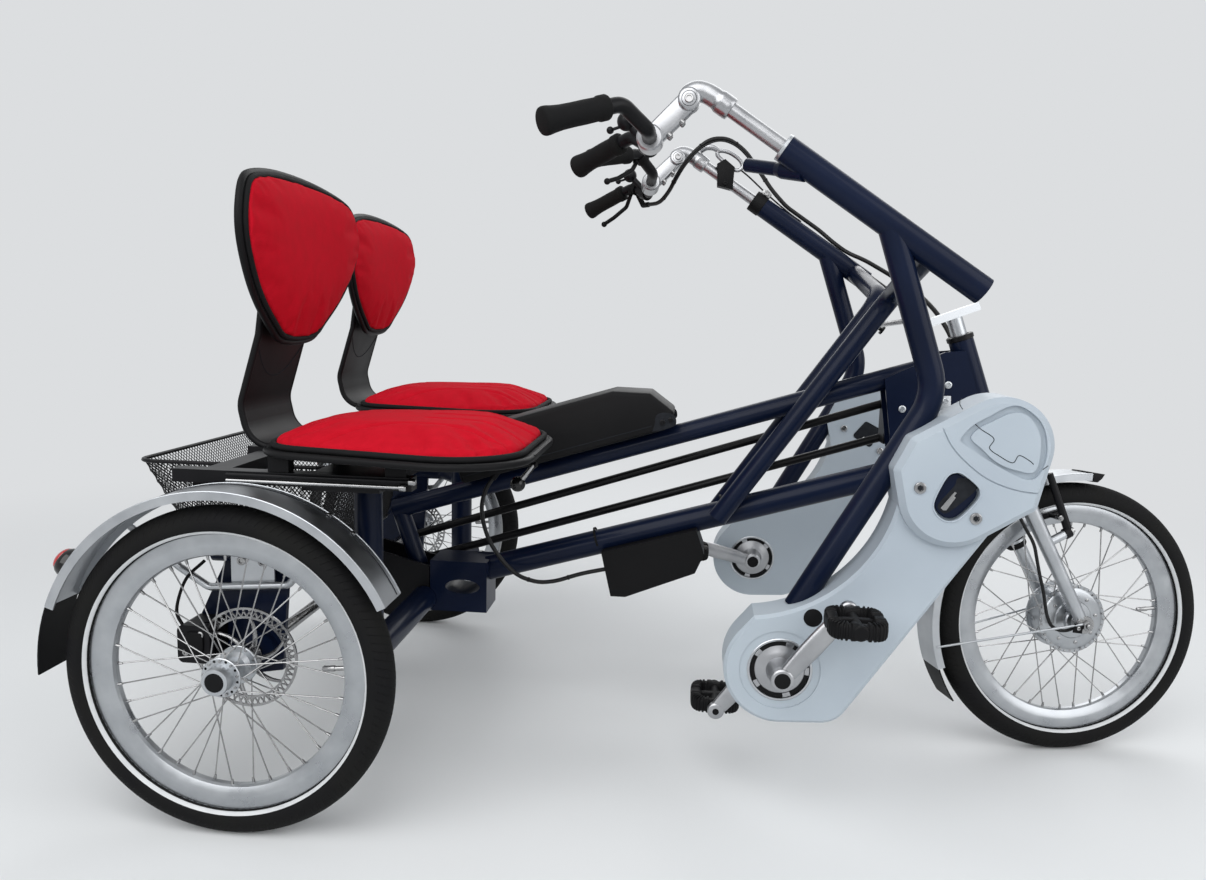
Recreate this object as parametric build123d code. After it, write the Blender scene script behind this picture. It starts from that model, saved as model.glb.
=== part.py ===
"""Electric side-by-side tandem: a three-wheeled cycle on which two riders sit next to each other.

Millimetres. X points forward, Y to the riders' left, Z up. While the pieces are made, X is counted
from the rear axle and Z from the floor. At the end everything moves back, so that the origin lies
on the floor under the middle of the cycle's length.
"""
from build123d import *
import math
import os

# Wheels
WHEELBASE = 1388.0
TRACK = 974.0
TYRE_RADIUS = 253.0
TYRE_SECTION = 26.0
TYRE_DEPTH = 44.0
RIM_DEPTH = 31.0
RIM_OUTER = TYRE_RADIUS - TYRE_DEPTH
RIM_INNER = RIM_OUTER - RIM_DEPTH
RIM_WIDTH = 28.0
RIM_EDGE = 3.0
SPOKES = 36
SPOKE_RADIUS = 1.1
SPOKE_CROSSING = 2.0
DISC_RADIUS = 80.0
DISC_INNER = 63.0
DISC_THICKNESS = 3.0
DISC_OFFSET = 55.0

# Hubs: flange radius, flange spacing from the wheel's middle, barrel radius
REAR_FLANGE = 30.0
REAR_FLANGE_OFFSET = 26.0
REAR_BARREL = 15.0
REAR_AXLE_RADIUS = 10.0
REAR_AXLE_CAP = 20.0
REAR_AXLE_OUT = 48.0
MOTOR_FLANGE = 64.0
MOTOR_FLANGE_OFFSET = 22.0
MOTOR_BODY = 58.0
FRONT_AXLE_RADIUS = 6.0
FLANGE_THICKNESS = 4.0
DISC_BOSS = 23.0

# Steering: the fork's crown stands behind the front axle and above the tyre
HEAD_LEAN = 20.0
STEER_AT_REST = 11.0
CROWN_BEHIND = 142.8
CROWN_CLEAR = 12.9
STEM_RADIUS = 11.5
STEM_DEPTH = 60.0
HEAD_RADIUS = 22.0
HEAD_TOP_DROP = 28.0
HEAD_LENGTH = 234.0
HEAD_TO_CROWN = 34.0
HEADSET_GAP = 1.0
STEERER_RADIUS = 14.0
CROWN_DROP = HEAD_TOP_DROP + HEAD_LENGTH + HEAD_TO_CROWN
CROWN_RADIUS = 17.0
FORK_SPREAD = 56.0
FORK_LEG_TOP = 15.0
FORK_LEG_END = 11.0
LEVER_LENGTH = 66.0
LEVER_SECTION = 14.0
LEVER_RISE = 13.0
TIE_ROD_RADIUS = 5.0
STUD_RADIUS = 4.0
STUD_EYE = 7.5
STUD_PAST_TUBE = 74.0

# Middle tubes: radius, rear end as (x, z), and where the front end meets the head tube
UPPER_TUBE_RADIUS = 19.0
UPPER_TUBE_REAR = (95.0, 400.5)
UPPER_TUBE_IN = 41.3
LOWER_TUBE_RADIUS = 24.0
LOWER_TUBE_REAR = (285.0, 291.0)
LOWER_TUBE_IN = 17.0
LOWER_TUBE_SHORT = 25.4

# Brace tubes, from the lower middle tube
BRACE_RADIUS = 18.0
BRACE_LOW_X = WHEELBASE - 660.0
BRACE_BEND = (WHEELBASE - 370.0, 838.0)
BRACE_LOW_Y = 38.0
BRACE_BEND_Y = 46.0
BRACE_TOP_ALONG = 266.0
GUSSET_THICKNESS = 5.0
GUSSET_Y = 22.0

# Handlebar tubes and the outer down tubes that carry them
BAR_TUBE_Y = 322.0
BAR_TUBE_RADIUS = 21.0
BAR_TUBE_TOP = (WHEELBASE - 596.0, 1044.0)
BAR_TUBE_FALL = 33.9
BAR_TUBE_LENGTH = {"right": 362.5, "left": 296.0}
STUD_ALONG = BAR_TUBE_LENGTH["left"] + STUD_PAST_TUBE
STUB_RADIUS = 10.5
STUB_ROOT = 13.5
STUB_WELD = (WHEELBASE - 563.4, 1008.5)
STUB_REACH = (-81.6, 72.0, 21.5)
STUB_SHARE = 0.47

# Pedal units
CRANK_X = WHEELBASE - 566.6
CRANK_Z = 258.0
UNIT_Y = BAR_TUBE_Y + 15.5
CASE_INNER_Y = BAR_TUBE_Y - 22.0
CASE_OUTER_Y = BAR_TUBE_Y + 44.0
COVER_OUTER_Y = CASE_OUTER_Y + 18.0
COVER_BEVEL = 9.0
CASE_HOLE = 48.3
CASE_DISH = 62.0
RECESS_DEPTH = 6.0
WINDOW_DEPTH = 14.0
CRANK_LENGTH = 145.0
CRANK_PLANE = 65.0
CRANK_THICKNESS = 13.0
SPINDLE_RADIUS = 11.0
CHAINRING_RADIUS = 44.0
CRANK_REST = {"right": 51.0, "left": -13.0}
PEDAL_LENGTH = 92.0
PEDAL_WIDTH = 84.0
PEDAL_HEIGHT = 26.0
PEDAL_AXLE_RADIUS = 5.0
FIT = 0.3

DOWN_TUBE_RADIUS = 19.5
DOWN_TUBE_ALONG = 192.8
DOWN_TUBE_BEND = (CRANK_X + 214.6, CRANK_Z + 430.0)
DOWN_TUBE_FOOT = (CRANK_X + 40.6, CRANK_Z + 118.0)
DOWN_TUBE_BEND_RADIUS = 90.0

CHAIN_TUBE_Y = 72.0
CHAIN_TUBE_RADIUS = 8.0

# Rear frame
CROSS_X = 165.0
CROSS_Z = 235.0
CROSS_RADIUS = 24.0
POST_X = 152.0
POST_Y = 310.0
POST_RADIUS = 23.0
BOX_FRONT = 290.0
BOX_REAR = 178.0
BOX_HALF_WIDTH = 42.0
BOX_LOW = 212.0
BOX_HIGH = 312.0
ARM_Z = TYRE_RADIUS + 155.0
ARM_Y = TRACK / 2 - 101.0
ARM_RADIUS = 16.0
ARM_REAR = -72.0
REAR_BAR_RADIUS = 13.0
REAR_BAR_X = -20.0
BASKET_LOW = 350.0
REAR_BAR_Z = BASKET_LOW - REAR_BAR_RADIUS - FIT
CARRIER_Y = ARM_Y
CARRIER_THICKNESS = 10.0
BEARING_RADIUS = 30.0
BEARING_WIDTH = 34.0

# Mudguards, measured from the wheel's axle
REAR_GUARD = TYRE_RADIUS + 26.0
REAR_GUARD_HALF = 36.0
REAR_GUARD_START = 26.0
REAR_GUARD_END = 160.0
FRONT_GUARD = TYRE_RADIUS + 20.0
FRONT_GUARD_HALF = 33.0
FRONT_GUARD_START = 84.0
FRONT_GUARD_END = 200.0
GUARD_THICKNESS = 2.5
GUARD_EDGE = 13.0
STAY_RADIUS = 6.0
STAY_PLATE = 5.0
LAMP_ANGLE = 148.0

# Rim brake, as distances up the fork's leg from the axle and ahead of it
BRAKE_AHEAD = 44.0
BRAKE_TOP_AHEAD = 64.0
BRAKE_PAD = math.sqrt((RIM_OUTER - 8.0) ** 2 - BRAKE_AHEAD ** 2)
BRAKE_PIVOT = BRAKE_PAD - 30.0
BRAKE_TOP = FRONT_GUARD + 3.0

# Seats: they clear the rear mudguards. SEAT_X is how far each one's back stands from the rear axle
SEAT_Y = 310.0
SEAT_X = {"right": 20.0, "left": -65.0}
SHELL_THICKNESS = 9.0
RAIL_TOP = TYRE_RADIUS + REAR_GUARD + 16.0
PAN_Z = RAIL_TOP + 30.0
CUSHION_THICKNESS = 40.0
BACK_PAD_THICKNESS = 30.0
NECK_WIDTH = 165.0
BACK_CURVE = 1200.0
BACK_RIM = 7.0
RAIL_HEIGHT = 20.0
RAIL_HALF_GAUGE = 120.0
RAIL_REAR = -105.0
RAIL_FRONT = 265.0
RAIL_WIDTH = 26.0
PLATE_THICKNESS = 8.0
POST_TOP = RAIL_TOP - RAIL_HEIGHT - PLATE_THICKNESS - FIT
KNOB_RADIUS = 13.0

# Half of a back cushion's outline, as (distance from its middle, height above the pan)
BACK_HALF = [(0, 167), (58, 172), (94, 193), (136, 222), (169, 253), (197, 292), (208, 322), (205, 352),
             (187, 384), (147, 398), (60, 407)]

# Basket: its rim, how far the foot stands inside the rim, and its wall
BASKET_FRONT = 60.0
BASKET_REAR = -300.0
BASKET_HALF = 225.0
BASKET_TOP = RAIL_TOP - RAIL_HEIGHT - PLATE_THICKNESS
BASKET_TAPER = (30.0, 65.0, 55.0)
BASKET_CORNER = 30.0
BASKET_WALL = 4.0

# Details of the drive cover, counted from the crank's middle as (x, z)
COVER_RECESS = [(238, 372), (254, 392), (276, 406), (312, 422), (331, 414), (348, 398), (358, 370), (356, 334),
                (345, 317), (313, 323), (269, 347), (247, 361)]
COVER_PLATEAU = [(253, 376), (261, 386), (281, 398), (308, 411), (324, 410), (338, 398), (348, 379), (350, 350),
                 (342, 326), (324, 327), (300, 334), (281, 346), (263, 362)]
COVER_WINDOW = [(206, 275), (211, 259), (225, 249), (241, 251), (257, 266), (270, 284), (271, 296), (264, 306),
                (245, 320), (234, 322), (224, 317), (215, 301)]
CAP_SEAM = [(205, 398), (213, 383), (221, 367), (234, 350), (251, 334), (274, 317), (300, 305), (327, 298),
            (362, 296)]

# Outline of the controller box below the lower middle tube, as (x, z), from its rear face round
CONTROLLER = [(532, 262), (512, 346), (690, 397), (706, 352), (690, 315), (560, 262)]
CONTROLLER_HALF = 52.0
BATTERY_AT = 430.0

# Cables. The handlebar's goes from its lever over the stem to the tube, as (behind, y, above) the tube's top
CABLE_RADIUS = 4.5
BATTERY_CABLE_RADIUS = 4.0
MOTOR_CABLE_RADIUS = 3.0
CABLE_LIFT = BAR_TUBE_RADIUS + CABLE_RADIUS + 5.5
CABLE_LAID = BAR_TUBE_RADIUS + CABLE_RADIUS + FIT
CABLE_HANDOVER = 123.0
HANDLEBAR_CABLE = [(195, 104, -5), (173, 68, -11), (155, 22, 3), (141, -24, 30), (115, -53, 63), (80, -61, 92),
                   (41, -54, 97), (3, -41, 78), (-30, -26, 42), (-63, -13, 2), (-96, -7, -30)]

# From the left handlebar tube, over the tie rod and down beside the head tube, as (x, y, z)
FRAME_CABLE = [(1030, 300, 922), (1076, 246, 888), (1112, 178, 856), (1140, 110, 812), (1160, 66, 764),
               (1173, 44, 708), (1184, 36, 650)]

# From the battery's underside round to the controller box, as (x, y, z)
BATTERY_CABLE = [(302, -51, 480), (290, -53, 462), (281, -55, 430), (285, -55, 394), (297, -53, 357),
                 (323, -50, 318), (353, -47, 290), (392, -44, 279), (425, -42, 283), (473, -38, 299.7)]
CONTROLLER_INLET = 49.0

# From the crown down behind the right fork leg to the axle, as (up the leg, ahead of it, y)
MOTOR_CABLE = [(276, -20, -57), (247, -25, -58), (213, -24, -59), (178, -21, -59), (148, -28, -57), (116, -35, -55),
               (88, -40, -54), (66, -47, -54), (45, -53, -54), (26.8, -54.4, -54), (14.5, -49.3, -54),
               (5.1, -39.9, -54), (0, -27.6, -54), (0, -14.3, -54)]

# Gusset plates and the web between them, as (distance down the steering axis, ahead of it)
GUSSET = [(58, -153), (45, -38), (54, -3), (165, -5), (238, -38), (241, -177), (187, -179)]
GUSSET_WEB = [(93, -28), (101, -7), (215, -13), (208, -34)]

SIDES = {"right": -1, "left": 1}


# Helpers

def rod(start, end, radius, end_radius=None):
    """Round bar between two points, tapered where end_radius is given."""
    axis = Vector(*end) - Vector(*start)
    plane = Plane(origin=Vector(*start), z_dir=axis)
    low = (Align.CENTER, Align.CENTER, Align.MIN)
    if end_radius is None:
        return plane * Cylinder(radius, axis.length, align=low)
    return plane * Cone(radius, end_radius, axis.length, align=low)


def bent_tube(points, radius, bend):
    """Round bar along straight runs joined by tangent arcs."""
    path = FilletPolyline(*[Vector(*point) for point in points], radius=bend)
    return sweep(Plane(origin=path @ 0, z_dir=path % 0) * Circle(radius), path=path)


def cable(points, radius):
    """Round cable along straight runs, whose arcs are as large as the runs allow."""
    spots = [Vector(*point) for point in points]
    bends = []
    for before, here, after in zip(spots, spots[1:], spots[2:]):
        arriving = here - before
        leaving = after - here
        half_turn = math.radians(arriving.get_angle(leaving)) / 2
        bends.append(0.45 * min(arriving.length, leaving.length) / math.tan(half_turn))
    path = FilletPolyline(*spots, radius=bends)
    made = sweep(Plane(origin=path @ 0, z_dir=path % 0) * Circle(radius), path=path)
    share = made.volume / (math.pi * radius ** 2 * path.length)
    print("cable, its radius, length, smallest bend and volume against section times length:",
          radius, round(path.length), round(min(bends)), round(share, 4))
    return made


def gland(start, following, radius, length):
    """Sleeve that ends where a cable starts, in line with the cable's first run."""
    face = Vector(*start)
    inwards = (face - Vector(*following)).normalized()
    return rod(face + inwards * length, face, radius)


def side_plate(profile, y_low, y_high):
    """A profile drawn in X and Z, as thick as from y_low to y_high."""
    return extrude(Plane.XZ.offset(-y_high) * profile, amount=y_high - y_low)


def hull_of(circles):
    """The outline stretched round circles given as (x, z, radius), in anticlockwise order."""
    normals = []
    for (x, z, radius), (next_x, next_z, next_radius) in zip(circles, circles[1:] + circles[:1]):
        along = math.atan2(next_z - z, next_x - x)
        lean = (radius - next_radius) / math.hypot(next_x - x, next_z - z)
        normals.append(along - math.acos(lean))
    lines = []
    for number, (x, z, radius) in enumerate(circles):
        start = normals[number - 1]
        end = normals[number]
        end += 2 * math.pi * math.ceil((start - end) / (2 * math.pi))
        arc = [(x + radius * math.cos(angle), z + radius * math.sin(angle))
               for angle in (start, (start + end) / 2, end)]
        lines.append(ThreePointArc(*arc))
    for number, arc in enumerate(lines[:]):
        lines.append(Line(arc @ 1, lines[(number + 1) % len(circles)] @ 0))
    return make_face(lines)


def brick(low, high):
    """A box between two corners."""
    size = Vector(*high) - Vector(*low)
    corner = (Align.MIN, Align.MIN, Align.MIN)
    return Pos(*low) * Box(size.X, size.Y, size.Z, align=corner)


def to_left(shape):
    """The mirror image of a right-hand piece."""
    return mirror(shape, about=Plane.XZ)


def fuse(shapes):
    """All the shapes as one."""
    whole = shapes[0]
    for shape in shapes[1:]:
        whole = whole + shape
    return whole


def both(shape):
    """A right-hand piece and its mirror image, as two solids."""
    return Compound(children=solids_of(shape) + solids_of(to_left(shape)))


def solids_of(shape):
    return list(shape.solids())


# Steering axis: it leans back by HEAD_LEAN and passes through the steerer's top

LEAN = math.radians(HEAD_LEAN)
STEER_UP = Vector(-math.sin(LEAN), 0, math.cos(LEAN))
STEER_AHEAD = Vector(math.cos(LEAN), 0, math.sin(LEAN))
CROWN = Vector(WHEELBASE - CROWN_BEHIND, 0, 2 * TYRE_RADIUS + CROWN_CLEAR)
STEERER_TOP = CROWN + STEER_UP * CROWN_DROP
STEER_AXIS = Axis(STEERER_TOP, STEER_UP)


def on_steerer(drop, ahead=0.0, side=0.0):
    """A point this far down the steering axis, ahead of it and to its left."""
    return STEERER_TOP - STEER_UP * drop + STEER_AHEAD * ahead + Vector(0, side, 0)


def steered(shape):
    """A straight-ahead piece, turned to where the steering rests."""
    return shape.rotate(STEER_AXIS, STEER_AT_REST)


# Front ends of the middle tubes, on the head tube

def in_side_view(point):
    return point.X, point.Z


UPPER_TUBE_FRONT = in_side_view(on_steerer(HEAD_TOP_DROP + UPPER_TUBE_IN))
LOWER_TUBE_FRONT = in_side_view(on_steerer(HEAD_TOP_DROP + HEAD_LENGTH - LOWER_TUBE_IN, -LOWER_TUBE_SHORT))


def height_on(rear, front, x):
    """Height of a middle tube's line at x."""
    return rear[1] + (x - rear[0]) * (front[1] - rear[1]) / (front[0] - rear[0])


# The left handlebar turns about its own sloping tube, by the same angle

BAR_TOP = Vector(BAR_TUBE_TOP[0], BAR_TUBE_Y, BAR_TUBE_TOP[1])
FALL = math.radians(BAR_TUBE_FALL)
BAR_DOWN = Vector(math.cos(FALL), 0, -math.sin(FALL))
BAR_BELOW = Vector(BAR_DOWN.Z, 0, -BAR_DOWN.X)
BAR_AXIS = Axis(BAR_TOP, BAR_DOWN * -1)


def on_bar(along, below=0.0, side=0.0, y=BAR_TUBE_Y):
    """A point this far down the handlebar tube from its top, below it and to its left."""
    start = Vector(BAR_TUBE_TOP[0], y, BAR_TUBE_TOP[1])
    return start + BAR_DOWN * along + BAR_BELOW * below + Vector(0, side, 0)


def bar_turned(shape):
    """A straight-ahead piece of the left handlebar, turned to where it rests."""
    return shape.rotate(BAR_AXIS, STEER_AT_REST)


# Wheels, made with their axle along Y through the origin

def tyre():
    """Tyre with a round crown and a flat seat that closes on the rim."""
    crown = TYRE_RADIUS - TYRE_SECTION
    seat = RIM_OUTER + FIT
    half = RIM_WIDTH / 2 - RIM_EDGE - FIT
    clear = RIM_OUTER + RIM_EDGE + 1
    lines = [
        ThreePointArc((-half, clear), (-TYRE_SECTION * 0.97, crown), (0, TYRE_RADIUS)),
        ThreePointArc((0, TYRE_RADIUS), (TYRE_SECTION * 0.97, crown), (half, clear)),
        Polyline((half, clear), (half, seat), (-half, seat), (-half, clear)),
    ]
    section = Plane.YZ * make_face(lines)
    return revolve(section, Axis.Y, 360)


def rim():
    """Deep box rim with two raised edges that hold the tyre."""
    half = RIM_WIDTH / 2
    bed = RIM_OUTER
    outline = Polyline(
        (-half, bed + RIM_EDGE), (-half + RIM_EDGE, bed + RIM_EDGE), (-half + RIM_EDGE, bed),
        (half - RIM_EDGE, bed), (half - RIM_EDGE, bed + RIM_EDGE), (half, bed + RIM_EDGE),
        (half, bed - 14), (half * 0.55, RIM_INNER), (-half * 0.55, RIM_INNER), (-half, bed - 14),
        close=True)
    return revolve(Plane.YZ * make_face(outline), Axis.Y, 360)


def spokes(flange, flange_offset):
    """Crossed spokes from both flanges to the rim."""
    made = []
    pitch = 360.0 / SPOKES
    for number in range(SPOKES):
        side = 1 if number % 2 == 0 else -1
        lean = 1 if (number // 2) % 2 == 0 else -1
        at_rim = math.radians(number * pitch)
        at_hub = at_rim + lean * math.radians(SPOKE_CROSSING * 2 * pitch)
        hub_y = side * (flange_offset + lean * 0.9)
        hub_point = ((flange - 4) * math.cos(at_hub), hub_y, (flange - 4) * math.sin(at_hub))
        rim_point = ((RIM_INNER + 2) * math.cos(at_rim), side * 3.0, (RIM_INNER + 2) * math.sin(at_rim))
        made.append(rod(hub_point, rim_point, SPOKE_RADIUS))
    return made


def disc_on_y(radius, y_low, y_high):
    """A cylinder about the Y axis."""
    return side_plate(Circle(radius), y_low, y_high)


def rear_hub():
    """Hub with two flanges and the capped end of the axle on its outer side."""
    offset = REAR_FLANGE_OFFSET
    inner = offset + FLANGE_THICKNESS / 2
    pieces = [disc_on_y(REAR_BARREL, -offset, inner)]
    for side in (-1, 1):
        middle = side * offset
        pieces.append(disc_on_y(REAR_FLANGE, middle - FLANGE_THICKNESS / 2, middle + FLANGE_THICKNESS / 2))
    pieces.append(disc_on_y(REAR_AXLE_CAP, -REAR_AXLE_OUT, -offset))
    return fuse(pieces)


def brake_disc():
    """Slotted ring on six arms."""
    ring = Circle(DISC_RADIUS) - Circle(DISC_INNER)
    arm = Rectangle(DISC_INNER + 4 - 12, 9, align=(Align.MIN, Align.CENTER))
    sketch = ring + Circle(DISC_BOSS)
    for number in range(6):
        sketch = sketch + Rot(0, 0, 60 * number) * Pos(12, 0) * arm
    return side_plate(sketch, DISC_OFFSET, DISC_OFFSET + DISC_THICKNESS)


def motor_hub():
    """Broad hub that holds the motor, with two spoke flanges."""
    offset = MOTOR_FLANGE_OFFSET
    pieces = [disc_on_y(MOTOR_BODY, -offset - 4, offset + 4)]
    for side in (-1, 1):
        middle = side * offset
        pieces.append(disc_on_y(MOTOR_FLANGE, middle - FLANGE_THICKNESS / 2, middle + FLANGE_THICKNESS / 2))
    pieces.append(disc_on_y(20, -offset - 14, offset + 14))
    return fuse(pieces) - disc_on_y(FRONT_AXLE_RADIUS + 0.05, -100, 100)


def rear_wheel():
    return fuse([rear_hub(), rim()] + spokes(REAR_FLANGE, REAR_FLANGE_OFFSET))


def front_wheel():
    return fuse([motor_hub(), rim()] + spokes(MOTOR_FLANGE, MOTOR_FLANGE_OFFSET))


RIGHT_WHEEL_AT = Pos(0, -TRACK / 2, TYRE_RADIUS)
FRONT_WHEEL_AT = Pos(WHEELBASE, 0, TYRE_RADIUS)


# Frame

def middle_tube(rear, front, radius):
    return rod((rear[0], 0, rear[1]), (front[0], 0, front[1]), radius)


def upper_tube():
    return middle_tube(UPPER_TUBE_REAR, UPPER_TUBE_FRONT, UPPER_TUBE_RADIUS)


def lower_tube():
    return middle_tube(LOWER_TUBE_REAR, LOWER_TUBE_FRONT, LOWER_TUBE_RADIUS)


def head_tube():
    return rod(on_steerer(HEAD_TOP_DROP + HEAD_LENGTH), on_steerer(HEAD_TOP_DROP), HEAD_RADIUS)


def head_bore():
    return rod(on_steerer(HEAD_TOP_DROP + HEAD_LENGTH + 30), on_steerer(-20), STEERER_RADIUS + 0.05)


def gusset():
    """Two plates that join the main tubes behind the head tube."""
    plate = make_face(Polyline(*[in_side_view(on_steerer(drop, ahead)) for drop, ahead in GUSSET], close=True))
    right = side_plate(plate, -GUSSET_Y - GUSSET_THICKNESS, -GUSSET_Y)
    left = side_plate(plate, GUSSET_Y, GUSSET_Y + GUSSET_THICKNESS)
    web = side_plate(make_face(Polyline(*[in_side_view(on_steerer(drop, ahead)) for drop, ahead in GUSSET_WEB],
                                        close=True)), -GUSSET_Y, GUSSET_Y)
    return fuse([right, left, web])


def main_frame():
    """Both main tubes, the head tube, the gusset plates and the sleeve that takes the cable, welded as one."""
    sleeve = gland(FRAME_CABLE[-1], FRAME_CABLE[-2], 9.5, 20)
    return fuse([head_tube(), upper_tube(), lower_tube(), gusset(), sleeve]) - head_bore()


def brace_tube(side):
    """Tube from the lower main tube, up past the upper one and out to a handlebar tube."""
    top = on_bar(BRACE_TOP_ALONG, y=side * BAR_TUBE_Y)
    points = [
        (BRACE_LOW_X, side * BRACE_LOW_Y, height_on(LOWER_TUBE_REAR, LOWER_TUBE_FRONT, BRACE_LOW_X)),
        (BRACE_BEND[0], side * BRACE_BEND_Y, BRACE_BEND[1]),
        (top.X, side * (BAR_TUBE_Y - 2), top.Z),
    ]
    return bent_tube(points, BRACE_RADIUS, 45)


def bar_tube_solid(name):
    """Outside of the sloping tube that holds a handlebar stem."""
    y = SIDES[name] * BAR_TUBE_Y
    return rod(on_bar(0, y=y), on_bar(BAR_TUBE_LENGTH[name], y=y), BAR_TUBE_RADIUS)


def bar_tube(name):
    """The same tube, open at the top for the stem. The right one carries a closed stub."""
    y = SIDES[name] * BAR_TUBE_Y
    tube = bar_tube_solid(name)
    if name == "right":
        weld = Vector(STUB_WELD[0], y, STUB_WELD[1])
        reach = Vector(*STUB_REACH)
        taper = rod(weld + reach * (STUB_SHARE - 0.1), weld + reach * STUB_SHARE, STUB_ROOT, STUB_RADIUS)
        root = rod(weld, weld + reach * (STUB_SHARE - 0.1), STUB_ROOT)
        tube = tube + root + taper + rod(weld + reach * STUB_SHARE, weld + reach, STUB_RADIUS)
    return tube - rod(on_bar(-20, y=y), on_bar(STEM_DEPTH + 1, y=y), STEM_RADIUS + FIT)


def down_tube(side, grow=0.0):
    """Tube from the handlebar tube down to the pedal unit, made this much thicker."""
    places = (in_side_view(on_bar(DOWN_TUBE_ALONG)), DOWN_TUBE_BEND, DOWN_TUBE_FOOT)
    points = [(x, side * BAR_TUBE_Y, z) for x, z in places]
    return bent_tube(points, DOWN_TUBE_RADIUS + grow, DOWN_TUBE_BEND_RADIUS)


def frame_box():
    """Box that joins the lower main tube to the rear cross tube, with an eye through its sides."""
    box = brick((BOX_REAR, -BOX_HALF_WIDTH, BOX_LOW), (BOX_FRONT, BOX_HALF_WIDTH, BOX_HIGH))
    middle_x = (BOX_FRONT + BOX_REAR) / 2 + 8
    middle_z = (BOX_LOW + BOX_HIGH) / 2
    eye = side_plate(Pos(middle_x, middle_z) * Ellipse(34, 14), -BOX_HALF_WIDTH - 5, BOX_HALF_WIDTH + 5)
    return box - eye


def axle_arm():
    """Right-hand arm from the seat post back over the axle, with the plate that carries the bearing."""
    reach = bent_tube([(POST_X, -POST_Y, ARM_Z), (POST_X - 62, -ARM_Y, ARM_Z), (ARM_REAR, -ARM_Y, ARM_Z)],
                      ARM_RADIUS, 30)
    outline = Polyline((-46, ARM_Z), (52, ARM_Z), (38, TYRE_RADIUS - 34), (-8, TYRE_RADIUS - 42),
                       (-36, TYRE_RADIUS - 20), (-96, TYRE_RADIUS - 5), (-96, TYRE_RADIUS + 50), close=True)
    plate = side_plate(make_face(outline), -CARRIER_Y - CARRIER_THICKNESS / 2, -CARRIER_Y + CARRIER_THICKNESS / 2)
    half = BEARING_WIDTH / 2
    bearing = Pos(0, 0, TYRE_RADIUS) * disc_on_y(BEARING_RADIUS, -CARRIER_Y - half, -CARRIER_Y + half)
    bore = Pos(0, 0, TYRE_RADIUS) * disc_on_y(REAR_AXLE_RADIUS + 0.05, -CARRIER_Y - 60, -CARRIER_Y + 60)
    return fuse([reach, plate, bearing]) - bore


def rear_frame():
    """Cross tube, seat posts, axle arms and the box, welded as one."""
    cross = rod((CROSS_X, -POST_Y - 22, CROSS_Z), (CROSS_X, POST_Y + 22, CROSS_Z), CROSS_RADIUS)
    rear_bar = rod((REAR_BAR_X, -ARM_Y, REAR_BAR_Z), (REAR_BAR_X, ARM_Y, REAR_BAR_Z), REAR_BAR_RADIUS)
    post = rod((POST_X, -POST_Y, CROSS_Z), (POST_X, -POST_Y, POST_TOP), POST_RADIUS)
    arm = axle_arm()
    tail = rod((UPPER_TUBE_REAR[0] + 10, 0, UPPER_TUBE_REAR[1] + 3), (CROSS_X, 0, CROSS_Z), 17)
    return fuse([cross, rear_bar, post, to_left(post), arm, to_left(arm), frame_box(), tail]) - lower_tube() - upper_tube()


# Pedal units, right-hand side

def from_crank(points):
    """Places counted from the crank's middle, each with what follows its x and z."""
    return [(CRANK_X + x, CRANK_Z + z, *rest) for x, z, *rest in points]


def case_outline():
    """Arm of the chaincase: round about the crank, with a hollow back edge that follows the tube."""
    body = hull_of(from_crank([(0, 0, 86), (64, -37, 46), (234, 287, 84)]))
    return body - Pos(CRANK_X - 67, CRANK_Z + 314) * Circle(232)


def cover_outline():
    """Upper cover: a lobe below, a round cap in front and two blunt corners behind."""
    return hull_of(from_crank([(236, 288, 79), (344, 277, 12), (299, 360, 73), (180, 360, 13), (161, 320, 13)]))


def closed_curve(points):
    return make_face(Spline(*from_crank(points), periodic=True))


def cover_recess():
    """The hollow round the cap's raised middle, which lies a little below the cap."""
    outer = closed_curve(COVER_RECESS)
    inner = closed_curve(COVER_PLATEAU)
    floor = -COVER_OUTER_Y + RECESS_DEPTH
    return side_plate(outer, -COVER_OUTER_Y - 1, floor) - side_plate(inner, -COVER_OUTER_Y + 1, floor)


def drive_cover():
    """Cover with the cap's groove, the recess on the cap and the window over the frame's end."""
    body = side_plate(cover_outline(), -COVER_OUTER_Y, -CASE_INNER_Y)
    face = body.faces().sort_by(Axis.Y)[0]
    body = chamfer(face.edges(), COVER_BEVEL)
    seam = trace(Spline(*from_crank(CAP_SEAM)), 2)
    groove = side_plate(seam, -COVER_OUTER_Y - 1, -COVER_OUTER_Y + 2)
    window = side_plate(closed_curve(COVER_WINDOW), -COVER_OUTER_Y - 1, -COVER_OUTER_Y + WINDOW_DEPTH)
    return body - cover_recess() - groove - window - down_tube_space()


def down_tube_space():
    """Room for the down tube, a fit's width larger than the tube."""
    return down_tube(-1, FIT)


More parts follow.
